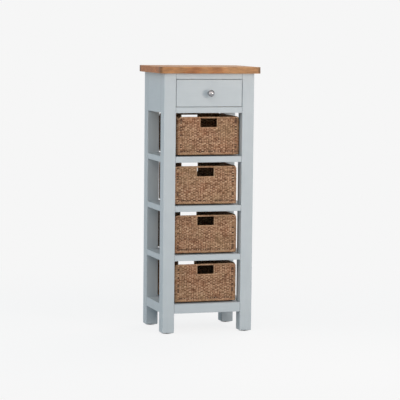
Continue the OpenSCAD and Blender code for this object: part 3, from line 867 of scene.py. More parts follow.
@dataclass
class Sheet:
    """A thick sheet on a lattice of columns and rows, with a face on each side.

    outer and inner have a point for each column and row. cells says which cells exist.
    """

    outer: np.ndarray
    inner: np.ndarray
    crown: np.ndarray
    cells: np.ndarray
    lie: np.ndarray
    tone: np.ndarray
    closed: bool = False

    def skin(self) -> Skin:
        """Makes the two faces and closes every open edge between them.

        Returns:
            The skin of the whole sheet.
        """
        columns, rows = self.outer.shape[:2]
        spans = columns if self.closed else columns - 1
        number = np.arange(columns * rows).reshape(columns, rows)
        c, r = np.nonzero(self.cells)
        after = (c + 1) % columns
        front = np.stack([number[c, r], number[after, r], number[after, r + 1],
            number[c, r + 1]], 1)
        behind = columns * rows
        lie, tone = self.lie[c, r], self.tone[c, r]
        quads, lies, tones = [front, front[:, ::-1] + behind], [lie, lie[:, ::-1]], [tone, tone]
        padded = np.zeros((spans + 2, rows + 1), bool)
        padded[1:-1, 1:-1] = self.cells
        if self.closed:
            padded[0, 1:-1], padded[-1, 1:-1] = self.cells[-1], self.cells[0]
        # Each side of a cell: where its neighbour lies, and the corners at its ends
        sides = (((-1, 0), 3, 0), ((1, 0), 1, 2), ((0, -1), 0, 1), ((0, 1), 2, 3))
        for (right, up), a, b in sides:
            bare = ~padded[c + 1 + right, r + 1 + up]
            first, second = front[bare, a], front[bare, b]
            quads.append(np.stack([second, first, first + behind, second + behind], 1))
            lies.append(lie[bare])
            tones.append(tone[bare])
        return Skin(
            np.concatenate([self.outer.reshape(-1, 3), self.inner.reshape(-1, 3)]),
            np.concatenate([self.crown.ravel(), self.crown.ravel()]),
            np.concatenate(quads), np.concatenate(lies), np.concatenate(tones))


@dataclass
class Wrap:
    """A core bound round and round with one flat cord.

    path is the core's line, and out the direction that points away from the basket at each
    of its points. thick is the width along out and tall the width across it. Each turn of
    the cord takes pitch, and squareness is 2 for a round section and more for a square one.
    """

    path: np.ndarray
    out: np.ndarray
    thick: float
    tall: float
    closed: bool = True
    pitch: float = 6.0
    groove: float = 0.8
    squareness: float = 2.6
    rings_per_turn: int = 4
    sides: int = 10
    # How unevenly the turns are pulled tight, and the mean and spread of their tone
    uneven: float = 0.05
    tone: Span = (0.5, 0.16)
    end_tone: float = 0.4

    def _along(self, steps: np.ndarray, total: float, count: int
               ) -> tuple[np.ndarray, np.ndarray, np.ndarray]:
        """Spaces rings evenly along the core.

        Args:
            steps: length from each point of the path to the next.
            total: length of the core.
            count: number of rings.

        Returns:
            The middle of each ring, its outward direction and its upward one.
        """
        places = np.linspace(0, total, count, endpoint=not self.closed)
        known = np.concatenate([[0], np.cumsum(steps)])
        core, out = (np.stack([np.interp(places, known, line[:, k]) for k in range(3)], 1)
            for line in (np.vstack([values, values[:1]]) for values in (self.path, self.out)))
        if self.closed:
            ahead = np.roll(core, -1, 0) - np.roll(core, 1, 0)
        else:
            ahead = np.gradient(core, axis=0)
        ahead /= np.linalg.norm(ahead, axis=1)[:, None]
        out -= ahead * (out * ahead).sum(1)[:, None]
        out /= np.linalg.norm(out, axis=1)[:, None]
        return core, out, np.cross(ahead, out)

    def skin(self, rng: np.random.Generator, brightness: float) -> Skin:
        """Sweeps the bound core.

        Args:
            rng: the basket's own random numbers.
            brightness: added to the tone of the cord.

        Returns:
            The skin, closed at both ends if the path is open.
        """
        steps = np.linalg.norm(np.diff(self.path, axis=0, append=self.path[:1]), axis=1)
        total = steps.sum() if self.closed else steps[:-1].sum()
        turns = max(3, round(total / self.pitch))
        count = turns * self.rings_per_turn
        core, out, up = self._along(steps, total, count)
        angle = np.arange(self.sides) * 2 * math.pi / self.sides + math.pi / self.sides
        cos, sin = np.cos(angle), np.sin(angle)
        power = 2 / self.squareness
        x = np.sign(cos) * np.abs(cos) ** power
        y = np.sign(sin) * np.abs(sin) ** power
        phase = (np.arange(count) / self.rings_per_turn)[:, None] + (angle / math.pi / 2)[None, :]
        crown = np.abs(np.sin(math.pi * phase)) ** CROWN_POWER
        size = 1 + rng.uniform(-self.uneven, self.uneven, turns)[
            np.floor(phase).astype(int) % turns]
        dip = self.groove * (1 - crown)
        half_x = (self.thick / 2 * size - dip)[..., None]
        half_y = (self.tall / 2 * size - dip)[..., None]
        points = (core[:, None] + out[:, None] * x[None, :, None] * half_x
            + up[:, None] * y[None, :, None] * half_y)
        number = np.arange(count * self.sides).reshape(count, self.sides)
        spans = count if self.closed else count - 1
        here, side = np.arange(spans), np.arange(self.sides)
        after, side_after = (here + 1) % count, (side + 1) % self.sides
        quads = np.stack([number[here][:, side], number[after][:, side],
            number[after][:, side_after], number[here][:, side_after]], -1)
        around = (self.thick + self.tall) * GIRTH / self.sides
        spacing = total / count
        u = side[None, :] * around + np.zeros((spans, 1))
        v = here[:, None] * spacing + np.zeros((1, self.sides))
        lie = np.stack([np.stack([u, v], -1), np.stack([u, v + spacing], -1),
            np.stack([u + around, v + spacing], -1), np.stack([u + around, v], -1)], 2)
        # A face that starts on a groove takes the tone of the turn that it leads to
        past_groove = 0.01
        shade = rng.normal(*self.tone, turns)
        tone = shade[np.floor(phase[:spans] + past_groove).astype(int) % turns] + brightness
        skin = Skin(points.reshape(-1, 3), crown.ravel(), quads.reshape(-1, 4),
            lie.reshape(-1, 4, 2), np.clip(tone, 0, 1).ravel())
        if self.closed:
            return skin
        return Skin.joined([skin, self._cap(points[0], False), self._cap(points[-1], True)])

    def _cap(self, ring: np.ndarray, flip: bool) -> Skin:
        """Closes an open end with a strip of quads.

        Args:
            ring: the points of the last ring.
            flip: turns the faces to look the other way.

        Returns:
            The cap's skin.
        """
        quads = np.array([[k, k + 1, self.sides - 2 - k, self.sides - 1 - k]
            for k in range(self.sides // 2 - 1)])
        if not flip:
            quads = quads[:, ::-1]
        return Skin(ring, np.full(self.sides, self.end_tone), quads,
            np.zeros((len(quads), 4, 2)), np.full(len(quads), self.end_tone))


@dataclass
class Basket:
    """One plaited seagrass basket with open handle holes front and back.

    skew repeats how the CAD basket is turned in its bay, as a share of the room at its
    sides. straw is how much paler its cords are than the other baskets', belly how far its
    left wall stands out, and dash the length and the spacing of the dark gaps along its
    foot, in points of the lattice.
    """

    number: int
    skew: float
    straw: float = 0.0
    belly: float = 0.0
    dash: tuple[int, int] = (2, 4)
    # Sizes of the CAD basket
    width: float = 282.0
    depth: float = 280.0
    height: float = 170.0
    side_room: float = 16.0
    weave: float = 7.0
    corner: float = 10.0
    proud: float = 1.2
    rim: float = 7.0
    hole_width: float = 74.0
    hole_low: float = 125.0
    lip: float = 6.0
    band: float = 12.0
    # How far the border drops to the corners, and rises towards the back
    front_drop: float = 18.0
    back_drop: float = 5.0
    side_drop: float = 34.0
    back_rise: float = 2.8
    # Height over which the walls take up the drop
    settling: float = 70.0
    # Where the walls start, over the shelf
    foot: float = 5.8
    # Stitches along a wall, round a corner and up a wall, and points along and up a stitch
    cells_long: int = 24
    cells_corner: int = 2
    rows: int = 27
    steps: tuple[int, int] = (4, 2)
    # Swell of a cord that rides over the uprights, and of one behind them, and how far the
    # ends of each lie back
    swells: Span = (1.6, 0.9)
    sinks: Span = (0.6, 0.7)
    groove: float = 0.8
    unevenness: float = 0.25
    # How far the walls sway in and out, and how many times round the basket
    sway: float = 0.35
    sways: int = 9
    # How far single points stray, single points in and out as well, and whole cords
    stray: float = 0.3
    depth_stray: float = 0.1
    cord_stray: float = 0.5
    # Place of a cord between gap and crown and what its swell adds to it, over the uprights
    # and behind them, and the place of the groove between two cords
    crown_over: Span = (0.5, 0.5)
    crown_behind: Span = (0.4, 0.35)
    crown_groove: float = 0.38
    # Share of the groove that the swell of a cord fills
    groove_fill: float = 0.35
    # Shares of the gaps beside the wrapped bands that show dark with dirt and painted shade, and
    # how deep they are
    foot_gaps: float = 0.85
    upright_gaps: float = 0.35
    gap_depth: float = 1.6
    # Tones over and behind, and their spread by stitch, by row and by point
    tones: Span = (0.66, 0.38)
    spreads: Place = (0.16, 0.06, 0.18)
    # Share of the stitches with a dark gap, and how far the painted shade of the gap darkens the
    # cord beside and under them
    dark_share: float = 0.34
    dark_beside: float = 0.6
    dark_under: float = 0.45
    # Spacing of the turns round an upright corner, points to a turn, and how far the
    # wrapping reaches over the walls
    turn_pitch: float = 5.6
    turn_steps: int = 4
    turn_reach: float = 2.0
    # Smallest and largest turn there, and the mean and spread of their tone
    turn_sizes: Span = (0.85, 1.1)
    turn_tone: Span = (0.55, 0.15)
    # How far the grooves between the turns stand out, and what their crowns add to the CAD's
    turn_out: Span = (0.2, 0.2)
    # How much of a turn is left next to its ends, how deep the ends tuck in, and how far the
    # turns start below the top of the CAD's foot band
    turn_taper: float = 0.8
    turn_tuck: float = 0.5
    turn_lap: float = 1.0
    # Length of cord to a column of the lattice there
    turn_cell: float = 3.0
    # How far the floor's faces lie inside those of the CAD floor, above and below
    floor_faces: Span = (1.2, 1.6)
    # How far the floor's edge hangs under the foot of the walls, over what width it sags
    # from there, and its least height over the shelf
    floor_hang: float = 2.5
    floor_sag: float = 60.0
    floor_least: float = 0.2
    # How far the middles of the border and of the foot band lie below those of the CAD's,
    # and what the wrapping adds to their height, or takes from it
    rim_low: float = 0.4
    rim_more: float = 0.6
    band_low: float = 1.5
    band_more: float = -2.0
    # How far the bindings of the handle holes stand back from them, and what the wrapping
    # adds to the lip
    hole_clear: float = 0.4
    hole_more: float = 1.0
    # Points to a stitch on the paths of the wrapped bands
    path_steps: int = 8
    pieces: list[bpy.types.Object] = field(default_factory=list)

    def __post_init__(self) -> None:
        """Works out what the methods share."""
        self.body = f"basket_{self.number}"
        self.rng = np.random.default_rng(SEED + self.number)
        self.half = np.array([self.width, self.depth]) / 2 - self.proud
        self.inner = self.half - self.corner
        self.wall_top = self.height - self.rim
        self.middle = self.corner - self.weave / 2
        self.bound = self.weave + 2 * self.proud
        low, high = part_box(self.body + "_body")
        turn = -math.asin(self.skew * self.side_room / self.depth)
        self.at = (Matrix.Translation(((low.x + high.x) / 2, (low.y + high.y) / 2, low.z))
            @ Matrix.Rotation(turn, 4, "Z"))

    def top(self, base: np.ndarray, out: np.ndarray, height: float, grow: float) -> np.ndarray:
        """Height of a wall's upper edge, which drops towards the corners.

        Args:
            base: corner-centre line of the walls.
            out: outward direction of each of its points.
            height: height of the edge in the middle of a wall.
            grow: how far the edge stands out of the walls.

        Returns:
            The height at each point.
        """
        x, y = (base + out * self.corner).T
        end_drop = np.where(y > 0, self.back_drop, self.front_drop)
        heights = []
        for value, half, drop in ((x, self.half[0], end_drop),
                                  (y, self.half[1], self.side_drop)):
            inside = np.clip(np.abs(value) - (half + grow - drop), 0, drop)
            heights.append(height - drop + np.sqrt(drop ** 2 - inside ** 2))
        return np.maximum(*heights) + self.back_rise * np.clip(y / self.half[1], 0, 1)

    def round_walls(self, steps: int) -> tuple[np.ndarray, np.ndarray]:
        """Walks round the walls once, from the left end of the front wall.

        Args:
            steps: points per stitch.

        Returns:
            The corner-centre line and the outward direction of each of its points.
        """
        base, facing = [], []
        corners = [(-1, -1), (1, -1), (1, 1), (-1, 1)]
        for k in range(4):
            start = np.array(corners[k]) * self.inner
            end = np.array(corners[(k + 1) % 4]) * self.inner
            ahead = math.radians(90 * k - 90)
            for n in range(self.cells_long * steps):
                base.append(start + (end - start) * n / (self.cells_long * steps))
                facing.append(ahead)
            for n in range(self.cells_corner * steps):
                base.append(end)
                facing.append(ahead + math.pi / 2 * n / (self.cells_corner * steps))
        return np.array(base), np.stack([np.cos(facing), np.sin(facing)], 1)

    def faces(self, base: np.ndarray, out: np.ndarray, proud: tuple[np.ndarray, np.ndarray],
              z: np.ndarray) -> list[np.ndarray]:
        """Places the outer and the inner face of a wall, whose left side may belly.

        Args:
            base: corner-centre line at each point.
            out: outward direction at each point.
            proud: how far the outer face stands out there, and the inner one.
            z: height of each point.

        Returns:
            The points of the outer and of the inner face.
        """
        points = []
        for radius, level in zip((self.corner, self.corner - self.weave), proud):
            x, y = np.moveaxis(base + out * (radius + level)[..., None], -1, 0)
            share = np.clip(-x / self.half[0], 0, 1) ** 2
            belly = self.belly * share * np.sin(math.pi * np.clip(z / self.height, 0, 1))
            points.append(np.stack([x - belly, y, z], -1))
        return points

    def plain_weave(self, columns: int, rows: int) -> tuple[np.ndarray, np.ndarray]:
        """Works out how level cords ride over and behind upright ones.

        Args:
            columns: points along.
            rows: points up.

        Returns:
            How far each point stands out in mm, and its place between gap and crown.
        """
        across, up = self.steps
        i, j = lattice(columns, rows)
        cell, row = i // across, j // up
        over = (cell + row) % 2 == 0
        swell = np.sin(math.pi * (i % across) / across)
        ridge = j % up > 0
        size = self.rng.normal(1.0, self.unevenness, (cell.max() + 1, row.max() + 1))[cell, row]
        level = np.where(over, self.swells[0] * swell - self.sinks[0],
            self.swells[1] * swell - self.sinks[1]) * size
        level = np.where(ridge, level, -self.groove * (1 - self.groove_fill * swell))
        crown = np.where(over, self.crown_over[0] + self.crown_over[1] * swell,
            self.crown_behind[0] + self.crown_behind[1] * swell)
        crown = np.where(ridge, crown, self.crown_groove)
        return level + self.rng.normal(0, self.depth_stray, i.shape) * ridge, crown

    def walls(self) -> Skin:
        """Plaits the four walls as one closed sheet, open at the handle holes.

        Returns:
            The walls' skin.
        """
        across, up = self.steps
        base, out = self.round_walls(across)
        columns, rows = len(base), self.rows * up + 1
        i, j = lattice(columns, rows)
        level, crown = self._dark_gaps(*self.plain_weave(columns, rows), i, j)
        # The walls sway a little, as hand plaiting does
        sway = (self.sway * np.sin(i / columns * (2 * self.sways) * math.pi + self.number)
            * np.sin(j / rows * math.pi))
        edge = self.top(base, out, self.wall_top, 0.0)
        flat = self.foot + (self.wall_top - self.foot) * j / (rows - 1)
        share = np.clip((flat - (self.wall_top - self.settling)) / self.settling, 0, 1)
        z = flat - share * (self.wall_top - edge)[i]
        outer, inner = self.faces(base[i], out[i], (level + sway, sway - level), z)
        inside = np.where((j > 0) & (j < rows - 1), 1.0, 0.0)
        shift = self.rng.normal(0, self.stray, (columns, rows, 3)) * inside[..., None]
        # Level cords wander up and down along their length
        drift = self.rng.normal(0, self.cord_stray, (columns // across, rows))
        wander = np.array([np.interp(np.arange(columns) / across, np.arange(columns // across),
            drift[:, r], period=columns // across) for r in range(rows)]).T
        shift[..., 2] += wander * inside
        lie, tone = self._strands(columns, rows - 1)
        return Sheet(outer + shift, inner + shift, crown, self._open_cells(columns, rows - 1),
            lie, tone, closed=True).skin()

    def _dark_gaps(self, level: np.ndarray, crown: np.ndarray, i: np.ndarray,
                   j: np.ndarray) -> tuple[np.ndarray, np.ndarray]:
        """Sinks the stitches next to the wrapped bands, where dark gaps show, and gives them the
        dirt and painted shade of a gap.

        Args:
            level: how far each point stands out.
            crown: its place between gap and crown.
            i: its column.
            j: its row.

        Returns:
            The changed level and crown.
        """
        across, up = self.steps
        dark, period = self.dash
        along = i % ((self.cells_long + self.cells_corner) * across)
        late = self.rng.integers(-1, 2, len(i))[:, None]
        kept = (self.rng.random(len(i) // period + 1) < self.foot_gaps)[i // period]
        foot = (j == 2 * up + 1) & ((i + late) % period < dark) & kept
        near = (along // across == 0) | (along // across == self.cells_long - 1)
        some = self.rng.random(i.shape[1]) < self.upright_gaps
        sunk = foot | (near & some[None, :] & (j % up > 0))
        return np.where(sunk, -self.gap_depth, level), np.where(sunk, 0.0, crown)

    def _open_cells(self, columns: int, rows: int) -> np.ndarray:
        """Says which small cells exist, leaving out both handle holes.

        Args:
            columns: small columns round the walls.
            rows: small rows.

        Returns:
            True for each cell that exists.
        """
        across, up = self.steps
        cells = np.ones((columns, rows), bool)
        pitch = 2 * self.inner[0] / self.cells_long
        wide = round((self.hole_width / 2 + self.lip) / pitch)
        row = (self.wall_top - self.foot) / self.rows
        low = round((self.hole_low - self.lip / 2 - self.foot) / row)
        for start in (0, 2 * (self.cells_long + self.cells_corner)):
            middle = start + self.cells_long // 2
            cells[(middle - wide) * across:(middle + wide) * across, low * up:] = False
        return cells

    def _strands(self, columns: int, rows: int) -> tuple[np.ndarray, np.ndarray]:
        """Lays the level cords over the lattice, each stitch with a tone of its own.

        Args:
            columns: small columns.
            rows: small rows.

        Returns:
            The UV corners of each small cell in mm, and its tone.
        """
        across, up = self.steps
        size = np.array([2 * self.inner[0] / self.cells_long / across,
            (self.wall_top - self.foot) / self.rows / up])
        c, r = lattice(columns, rows)
        cell, row = c // across, r // up
        over = (cell + row) % 2 == 0
        stitches = (cell.max() + 1, row.max() + 1)
        by_stitch, by_row, by_point = self.spreads
        own = self.rng.normal(0, by_stitch, stitches)[cell, row]
        rows_own = self.rng.normal(0, by_row, stitches[1])[row]
        twist = self.rng.normal(0, by_point, (columns, rows))
        # Painted shade of a gap darkens some stitches at their side or their foot
        beside = (c % across == 0) & (self.rng.random(stitches) < self.dark_share)[cell, row]
        under = (r % up == 0) & (self.rng.random(stitches) < self.dark_share)[cell, row]
        tone = (np.where(over, *self.tones) + self.straw + own + rows_own + twist
            - self.dark_beside * beside - self.dark_under * under)
        return cell_lie(columns, rows, size), np.clip(tone, 0, 1)

    def floor(self) -> Skin:
        """Plaits the floor, which sags to the shelf and hangs clear of it at the walls.

        Returns:
            The floor's skin.
        """
        across, up = self.steps
        reach = self.half - self.weave
        columns, rows = self.cells_long * across + 1, 2 * self.rows * up + 1
        i, j = lattice(columns, rows)
        level, crown = self.plain_weave(columns, rows)
        x = (i / (columns - 1) * 2 - 1) * reach[0]
        y = (j / (rows - 1) * 2 - 1) * reach[1]
        hang = self.foot - self.floor_hang
        edge = np.minimum(reach[0] - np.abs(x), reach[1] - np.abs(y))
        lift = hang * np.clip(1 - edge / self.floor_sag, 0, 1) ** 2
        upper = np.stack([x, y, self.weave - self.floor_faces[0] + level + lift], -1)
        under = np.maximum(self.floor_faces[1] - level + lift, self.floor_least)
        lower = np.stack([x, y, under], -1)
        lie, tone = self._strands(columns - 1, rows - 1)
        return Sheet(upper, lower, crown, np.ones((columns - 1, rows - 1), bool), lie,
            tone).skin()

    def rim_wrap(self) -> Skin:
        """Binds the border round the top, down into each corner and up again.

        Returns:
            The border's skin.
        """
        base, out = self.round_walls(self.path_steps)
        z = self.top(base, out, self.height, self.proud)
        # Cord can't turn as sharply as the outline
        smoothings = 14
        for _ in range(smoothings):
            z = (np.roll(z, 1) + 2 * z + np.roll(z, -1)) / 4
        path = np.column_stack([base + out * self.middle, z - self.rim / 2 - self.rim_low])
        return Wrap(path, np.column_stack([out, np.zeros(len(out))]), self.bound,
            self.rim + self.rim_more).skin(self.rng, brightness=0.16)

    def foot_wrap(self) -> Skin:
        """Binds the band round the foot.

        Returns:
            The band's skin.
        """
        base, out = self.round_walls(self.path_steps)
        height = self.foot + self.band / 2 - self.band_low
        path = np.column_stack([base + out * self.middle, np.full(len(base), height)])
        return Wrap(path, np.column_stack([out, np.zeros(len(out))]), self.bound,
            self.band + self.band_more, squareness=2.4).skin(self.rng, brightness=0.06)

    def hole_wraps(self) -> list[Skin]:
        """Binds the sides and lower edge of both handle holes.

        Returns:
            One skin for each hole.
        """
        reach = self.hole_width / 2 + self.lip / 2 + self.hole_clear
        low, high = self.hole_low - self.lip / 2, self.height - self.rim / 2
        turn, points = 4.0, 12
        left = [(-reach, z) for z in np.linspace(high, low + turn, points)]
        bend = [(-reach + turn - turn * math.cos(a), low + turn - turn * math.sin(a))
            for a in np.linspace(0, math.pi / 2, points // 2)[1:]]
        half = left + bend + [(x, low) for x in np.linspace(-reach + turn, 0, points)[1:]]
        line = np.array(half + [(-x, z) for x, z in half[-2::-1]])
        skins = []
        for side in (-1, 1):
            wall = side * (self.half[1] - self.weave / 2)
            path = np.column_stack([line[:, 0] * -side, np.full(len(line), wall), line[:, 1]])
            out = np.tile([0.0, float(side), 0.0], (len(line), 1))
            skins.append(Wrap(path, out, self.bound, self.lip + self.hole_more,
                closed=False, pitch=5.4).skin(self.rng, brightness=0.2))
        return skins

    def _corner_line(self, k: int, side: tuple[int, int]) -> tuple[np.ndarray, np.ndarray]:
        """Walks round one upright corner, a little way over both of its walls.

        Args:
            k: the corner's number, from the front right one on.
            side: on which side of the middle it stands, in X and Y.

        Returns:
            The corner-centre line and the outward direction of each of its points.
        """
        facing = math.radians(90 * k - 90)
        centre = self.inner * np.array(side)
        cos, sin = math.cos(facing), math.sin(facing)
        over = np.linspace(-self.turn_reach, 0, 4)[:, None]
        past = np.linspace(0, self.turn_reach, 4)[1:, None]
        bend = np.linspace(0, 1, 6)[1:]
        base = np.concatenate([centre + np.array([-sin, cos]) * over,
            np.tile(centre, (len(bend), 1)), centre + np.array([-cos, -sin]) * past])
        share = np.concatenate([np.zeros(len(over)), bend, np.ones(len(past))])
        angle = facing + share * math.pi / 2
        return base, np.stack([np.cos(angle), np.sin(angle)], 1)

    def corner_bands(self) -> list[Skin]:
        """Wraps the upright corners with level turns of cord, from one wall to the next.

        Returns:
            One skin for each corner.
        """
        low, step = self.band - self.turn_lap, self.turn_steps
        turns = round((self.wall_top - low) / self.turn_pitch)
        rows = turns * step + 1
        skins = []
        for k, side in enumerate([(1, -1), (1, 1), (-1, 1), (-1, -1)]):
            base, out = self._corner_line(k, side)
            columns = len(base)
            i, j = lattice(columns, rows)
            crown = np.abs(np.sin(math.pi * (j / step))) ** CROWN_POWER
            # The ends of each turn tuck into the wall
            full = [1.0] * (columns - 4)
            taper = np.array([0.0, self.turn_taper, *full, self.turn_taper, 0.0])[i]
            size = self.rng.uniform(*self.turn_sizes, turns + 1)[np.minimum(j // step, turns)]
            swell = ((self.turn_out[0] + (self.proud + self.turn_out[1]) * crown * size)
                * taper - self.turn_tuck * (1 - taper))
            edge = self.top(base, out, self.wall_top, 0.0)
            z = low + (edge[i] - low) * j / (rows - 1)
            outer, inner = self.faces(base[i], out[i], (swell, -swell), z)
            lie = cell_lie(columns - 1, rows - 1,
                np.array([self.turn_cell, self.turn_pitch / step]))
            shade = np.clip(self.rng.normal(*self.turn_tone, turns + 1), 0, 1)
            tone = shade[lattice(columns - 1, rows - 1)[1] // step]
            skins.append(Sheet(outer, inner, crown, np.ones(tone.shape, bool), lie,
                tone).skin())
        return skins

    def build(self) -> None:
        """Makes the basket's pieces and puts them in place of the CAD solids."""
        grass = PlaitedSeagrass().material()
        parts = {
            "weave": ([self.walls(), self.floor()], "_body"),
            "border": ([self.rim_wrap()], "_rim"),
            "foot_band": ([self.foot_wrap()], ""),
            "corner_bands": (self.corner_bands(), ""),
            "hole_bindings": (self.hole_wraps(), ""),
        }
        for name, (skins, node) in parts.items():
            piece = Skin.joined(skins).build(f"{self.body}_{name}", self.at)
            piece.data.materials.append(grass)
            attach(piece, self.body)
            if node:
                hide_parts(self.body + node)
            self.pieces.append(piece)
        dress([self.body + "_frame"], DRAWN_WIRE)


# Joinery: CAD nodes that keep their shape


@dataclass
class Cabinet:
    """The painted frame with its oak top, shelves, bay panels and drawer guides."""

    posts: tuple[str, ...] = ("front_left_post", "front_right_post", "back_left_post",
                              "back_right_post")
    level_x: tuple[str, ...] = ("top_front_rail", "drawer_front_rail", "back_panel")
    level_y: tuple[str, ...] = ("left_side_panel", "right_side_panel")
    guides: tuple[str, ...] = ("left_runner", "right_runner", "left_kicker", "right_kicker",
                               "drawer_stops")

    def dress(self) -> int:
        """Gives each piece of the frame its finish, with the grain along its length.

        Returns:
            The number of nodes dressed.
        """
        shelf_x = [f"shelf_{n}_{part}" for n in LEVELS for part in
            ("front_rail", "back_rail", "panel")]
        shelf_y = [f"shelf_{n}_{side}_rail" for n in LEVELS for side in ("left", "right")]
        work = (
            (self.posts, EggshellPaintedPine(Grain.ALONG_Z)),
            ([*self.level_x, *shelf_x], EggshellPaintedPine(Grain.ALONG_X)),
            ([*self.level_y, *shelf_y], EggshellPaintedPine(Grain.ALONG_Y)),
            (["oak_top"], OiledOak()),
            (self.guides, PlanedPine(Grain.ALONG_Y)),
            (["top_screws"], ZINC_PLATE),
            (["glides"], MouldedNylon()),
        )
        for names, finish in work:
            dress(list(names), finish)
        return sum(len(names) for names, _ in work)


@dataclass
class Drawer:
    """The dovetailed drawer with its painted front, knob and turn button."""

    along_y: tuple[str, ...] = ("drawer_left_side", "drawer_right_side")
    along_x: tuple[str, ...] = ("drawer_back", "drawer_bottom")

    def dress(self) -> int:
        """Gives each piece of the drawer its finish.

        Returns:
            The number of nodes dressed.
        """
        work = (
            (["drawer_front"], EggshellPaintedPine(Grain.ALONG_X)),
            (self.along_y, PlanedPine(Grain.ALONG_Y)),
            (self.along_x, PlanedPine(Grain.ALONG_X)),
            (["drawer_catch"], PlanedPine(Grain.ALONG_Z)),
            (["drawer_knob"], SATIN_CHROME),
            (["knob_screw", "catch_screw"], ZINC_PLATE),
        )
        for names, finish in work:
            dress(list(names), finish)
        return sum(len(names) for names, _ in work)


# The studio


@dataclass(frozen=True)
class Softbox:
    """A flat soft lamp that looks at the cabinet, at the height of its target.

    azimuth turns from the front towards the right, in degrees. share is what it adds to
    the light on a surface that faces it, where 1 renders a colour as it is written.
    """

    name: str
    azimuth: float
    elevation: float
    distance: float
    width: float
    height: float
    share: float
    colour: str
    target: float = 850.0

    def build(self) -> None:
        """Hangs the lamp."""
        data = bpy.data.lights.new(self.name, "AREA")
        data.shape = "RECTANGLE"
        data.size = self.width * MM
        data.size_y = self.height * MM
        data.energy = self.share * (math.pi * self.distance * MM) ** 2
        data.color = linear(self.colour)[:3]
        lamp = bpy.data.objects.new(self.name, data)
        lamp.matrix_world = (Matrix.Translation((0, 0, self.target * MM))
            @ Matrix.Rotation(math.radians(self.azimuth), 4, "Z")
            @ Matrix.Rotation(math.radians(90 - self.elevation), 4, "X")
            @ Matrix.Translation((0, 0, self.distance * MM)))
        bpy.context.scene.collection.objects.link(lamp)


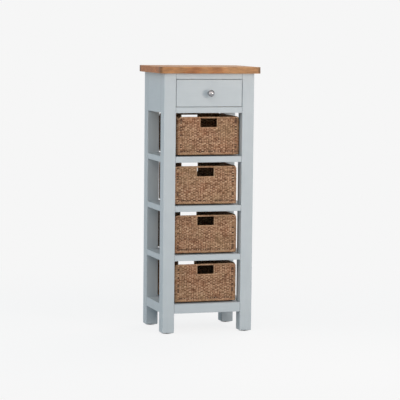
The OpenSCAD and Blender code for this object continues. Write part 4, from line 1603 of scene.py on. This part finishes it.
@dataclass
class Studio:
    """A pale floor, plain soft lamps and the camera where the photograph was taken."""

    white: str = "#F6F6F6"
    sky: str = "#98E2FF"
    ambient: float = 0.38
    # Share of the sky's light that a dark screen behind the cabinet lets through, and
    # where its sides and its top fade, as parts of a direction of length 1
    behind: float = 0.25
    screen_side: Span = (0.1, 0.6)
    screen_top: Span = (0.7, 0.3)
    # Side of the floor in metres
    floor_size: float = 120.0
    floor_colour: str = "#CFCFCF"
    floor_shown: str = "#ECECEC"
    # How much of the shadow shows, the light that evens it out, and where both fade
    shadow_share: float = 0.14
    shadow_lift: float = 1.05
    shadow_near: float = 600.0
    shadow_far: float = 2200.0
    # How much more shows at the feet, how far from them, and where their corners stand
    contact_share: float = 0.9
    contact_near: float = 8.0
    contact_far: float = 30.0
    feet_middle: Place = (0.0, 17.5, 0.0)
    feet_reach: Place = (175.5, 128.5, 0.0)
    lens: float = 172.97
    eye: Place = (-2481.6, -7997.9, 1349.6)
    yaw: float = 17.27
    pitch: float = -5.35
    roll: float = 0.59
    # How far the camera sees, in metres
    sight: float = 100.0
    lamps: tuple[Softbox, ...] = (
        Softbox("right_softbox", 27, 7, 2900, 700, 1500, 0.44, "#FFE8DA"),
        Softbox("left_softbox", -80, 20, 3200, 4200, 3600, 0.58, "#FFECE2"),
        Softbox("front_softbox", -11, 30, 5000, 4400, 4400, 0.40, "#FFE8DA"),
        Softbox("back_softbox", 134, 36, 3800, 2200, 2200, 0.36, "#FFE4D2"),
    )

    def build(self) -> None:
        """Sets up the floor, the world, the lamps and the camera."""
        self._floor()
        self._world()
        for lamp in self.lamps:
            lamp.build()
        self._camera()
        bpy.context.scene.view_settings.view_transform = "Standard"
        # Fine marks of cord and grain would otherwise be smoothed away with the noise
        bpy.context.scene.cycles.denoising_prefilter = "NONE"

    def _floor(self) -> None:
        """Lays the floor, which shows the same white as the world behind it."""
        mesh = bpy.data.meshes.new("studio_floor")
        half = self.floor_size / 2
        mesh.from_pydata([(-half, -half, 0), (half, -half, 0), (half, half, 0),
            (-half, half, 0)], [], [(0, 1, 2, 3)])
        floor = bpy.data.objects.new("studio_floor", mesh)
        bpy.context.scene.collection.objects.link(floor)
        material, tree, shader = blank_material("matt_paper_floor")
        feed(tree, shader, {"Base Color": linear(self.floor_shown), "Roughness": 1.0,
            "Specular IOR Level": 0.0})
        # Light falls on a greyer floor than the one that shows, so it throws less back
        grey = add_node(tree, "BsdfDiffuse", {"Color": linear(self.floor_colour)})
        # The camera and reflections see the white backdrop, with the shadow near the feet
        where = add_node(tree, "TexCoord").outputs["Object"]
        away = add_node(tree, "VectorMath", {0: where}, operation="LENGTH")
        near, lift = (add_node(tree, "MapRange", {"Value": away,
            "From Min": self.shadow_near * MM, "From Max": self.shadow_far * MM,
            "To Min": value}, **SMOOTH) for value in (1 - self.shadow_share, self.shadow_lift))
        middle, reach = ([v * MM for v in place] for place in (self.feet_middle, self.feet_reach))
        centred = add_node(tree, "VectorMath", {0: where, 1: middle}, operation="SUBTRACT")
        corner = add_node(tree, "VectorMath", {0: centred}, operation="ABSOLUTE")
        from_foot = add_node(tree, "VectorMath", {0: corner, 1: reach}, operation="DISTANCE")
        touch = add_node(tree, "MapRange", {"Value": from_foot,
            "From Min": self.contact_near * MM, "From Max": self.contact_far * MM,
            "To Min": 1 - self.contact_share}, **SMOOTH)
        share = add_node(tree, "Math", {0: near, 1: touch}, operation="MINIMUM")
        shown = add_node(tree, "Emission", {"Color": linear(self.white), "Strength": lift})
        pale = add_node(tree, "MixShader", {0: share, 1: shader, 2: shown})
        mix = add_node(tree, "MixShader", {0: seen_directly(tree), 1: grey, 2: pale})
        feed(tree, tree.nodes["Material Output"], {"Surface": mix})
        mesh.materials.append(material)

    def _world(self) -> None:
        """Lights evenly from all round, and shows white where a ray sees past the object."""
        world = bpy.data.worlds.new("studio")
        world.use_nodes = True
        bpy.context.scene.world = world
        tree = world.node_tree
        tree.nodes.clear()
        way = add_node(tree, "SeparateXYZ", {0: add_node(tree, "TexCoord").outputs["Generated"]})
        # A dark screen stands low behind the cabinet, so that its bays stay dark
        back, low = (add_node(tree, "MapRange", {"Value": way.outputs[axis],
            "From Min": first, "From Max": last}, **SMOOTH)
            for axis, (first, last) in ((1, self.screen_side), (2, self.screen_top)))
        screen = add_node(tree, "Math", {0: back, 1: low}, operation="MULTIPLY")
        strength = add_node(tree, "MapRange", {"Value": screen, "To Min": self.ambient,
            "To Max": self.ambient * self.behind})
        soft = add_node(tree, "Background", {"Color": linear(self.sky), "Strength": strength})
        white = add_node(tree, "Background", {"Color": linear(self.white), "Strength": 1.0})
        mix = add_node(tree, "MixShader", {0: seen_directly(tree), 1: soft, 2: white})
        add_node(tree, "OutputWorld", {"Surface": mix}).is_active_output = True

    def _camera(self) -> None:
        """Stands the camera where a fit to the photograph's edges puts it."""
        data = bpy.data.cameras.new("camera")
        data.lens = self.lens
        data.clip_end = self.sight
        camera = bpy.data.objects.new("camera", data)
        camera.matrix_world = (Matrix.Translation([v * MM for v in self.eye])
            @ Matrix.Rotation(math.radians(-self.yaw), 4, "Z")
            @ Matrix.Rotation(math.radians(90 + self.pitch), 4, "X")
            @ Matrix.Rotation(math.radians(self.roll), 4, "Z"))
        bpy.context.scene.collection.objects.link(camera)
        bpy.context.scene.camera = camera


def main() -> None:
    """Builds the studio and every sub-assembly."""
    logging.basicConfig(level=logging.INFO, format="%(name)s: %(message)s")
    studio = Studio()
    studio.build()
    LOG.info("studio: floor, %d lamps and camera", len(studio.lamps))
    LOG.info("cabinet: %d nodes dressed", Cabinet().dress())
    LOG.info("drawer: %d nodes dressed", Drawer().dress())
    for basket in (Basket(1, -0.28, belly=2.6), Basket(2, 0.72, straw=0.055, dash=(6, 9)),
                   Basket(3, 0.3, straw=-0.01), Basket(4, -0.34)):
        basket.build()
        for piece in basket.pieces:
            LOG.info("%s: %d faces", piece.name, len(piece.data.polygons))


if __name__ == "__main__":
    main()
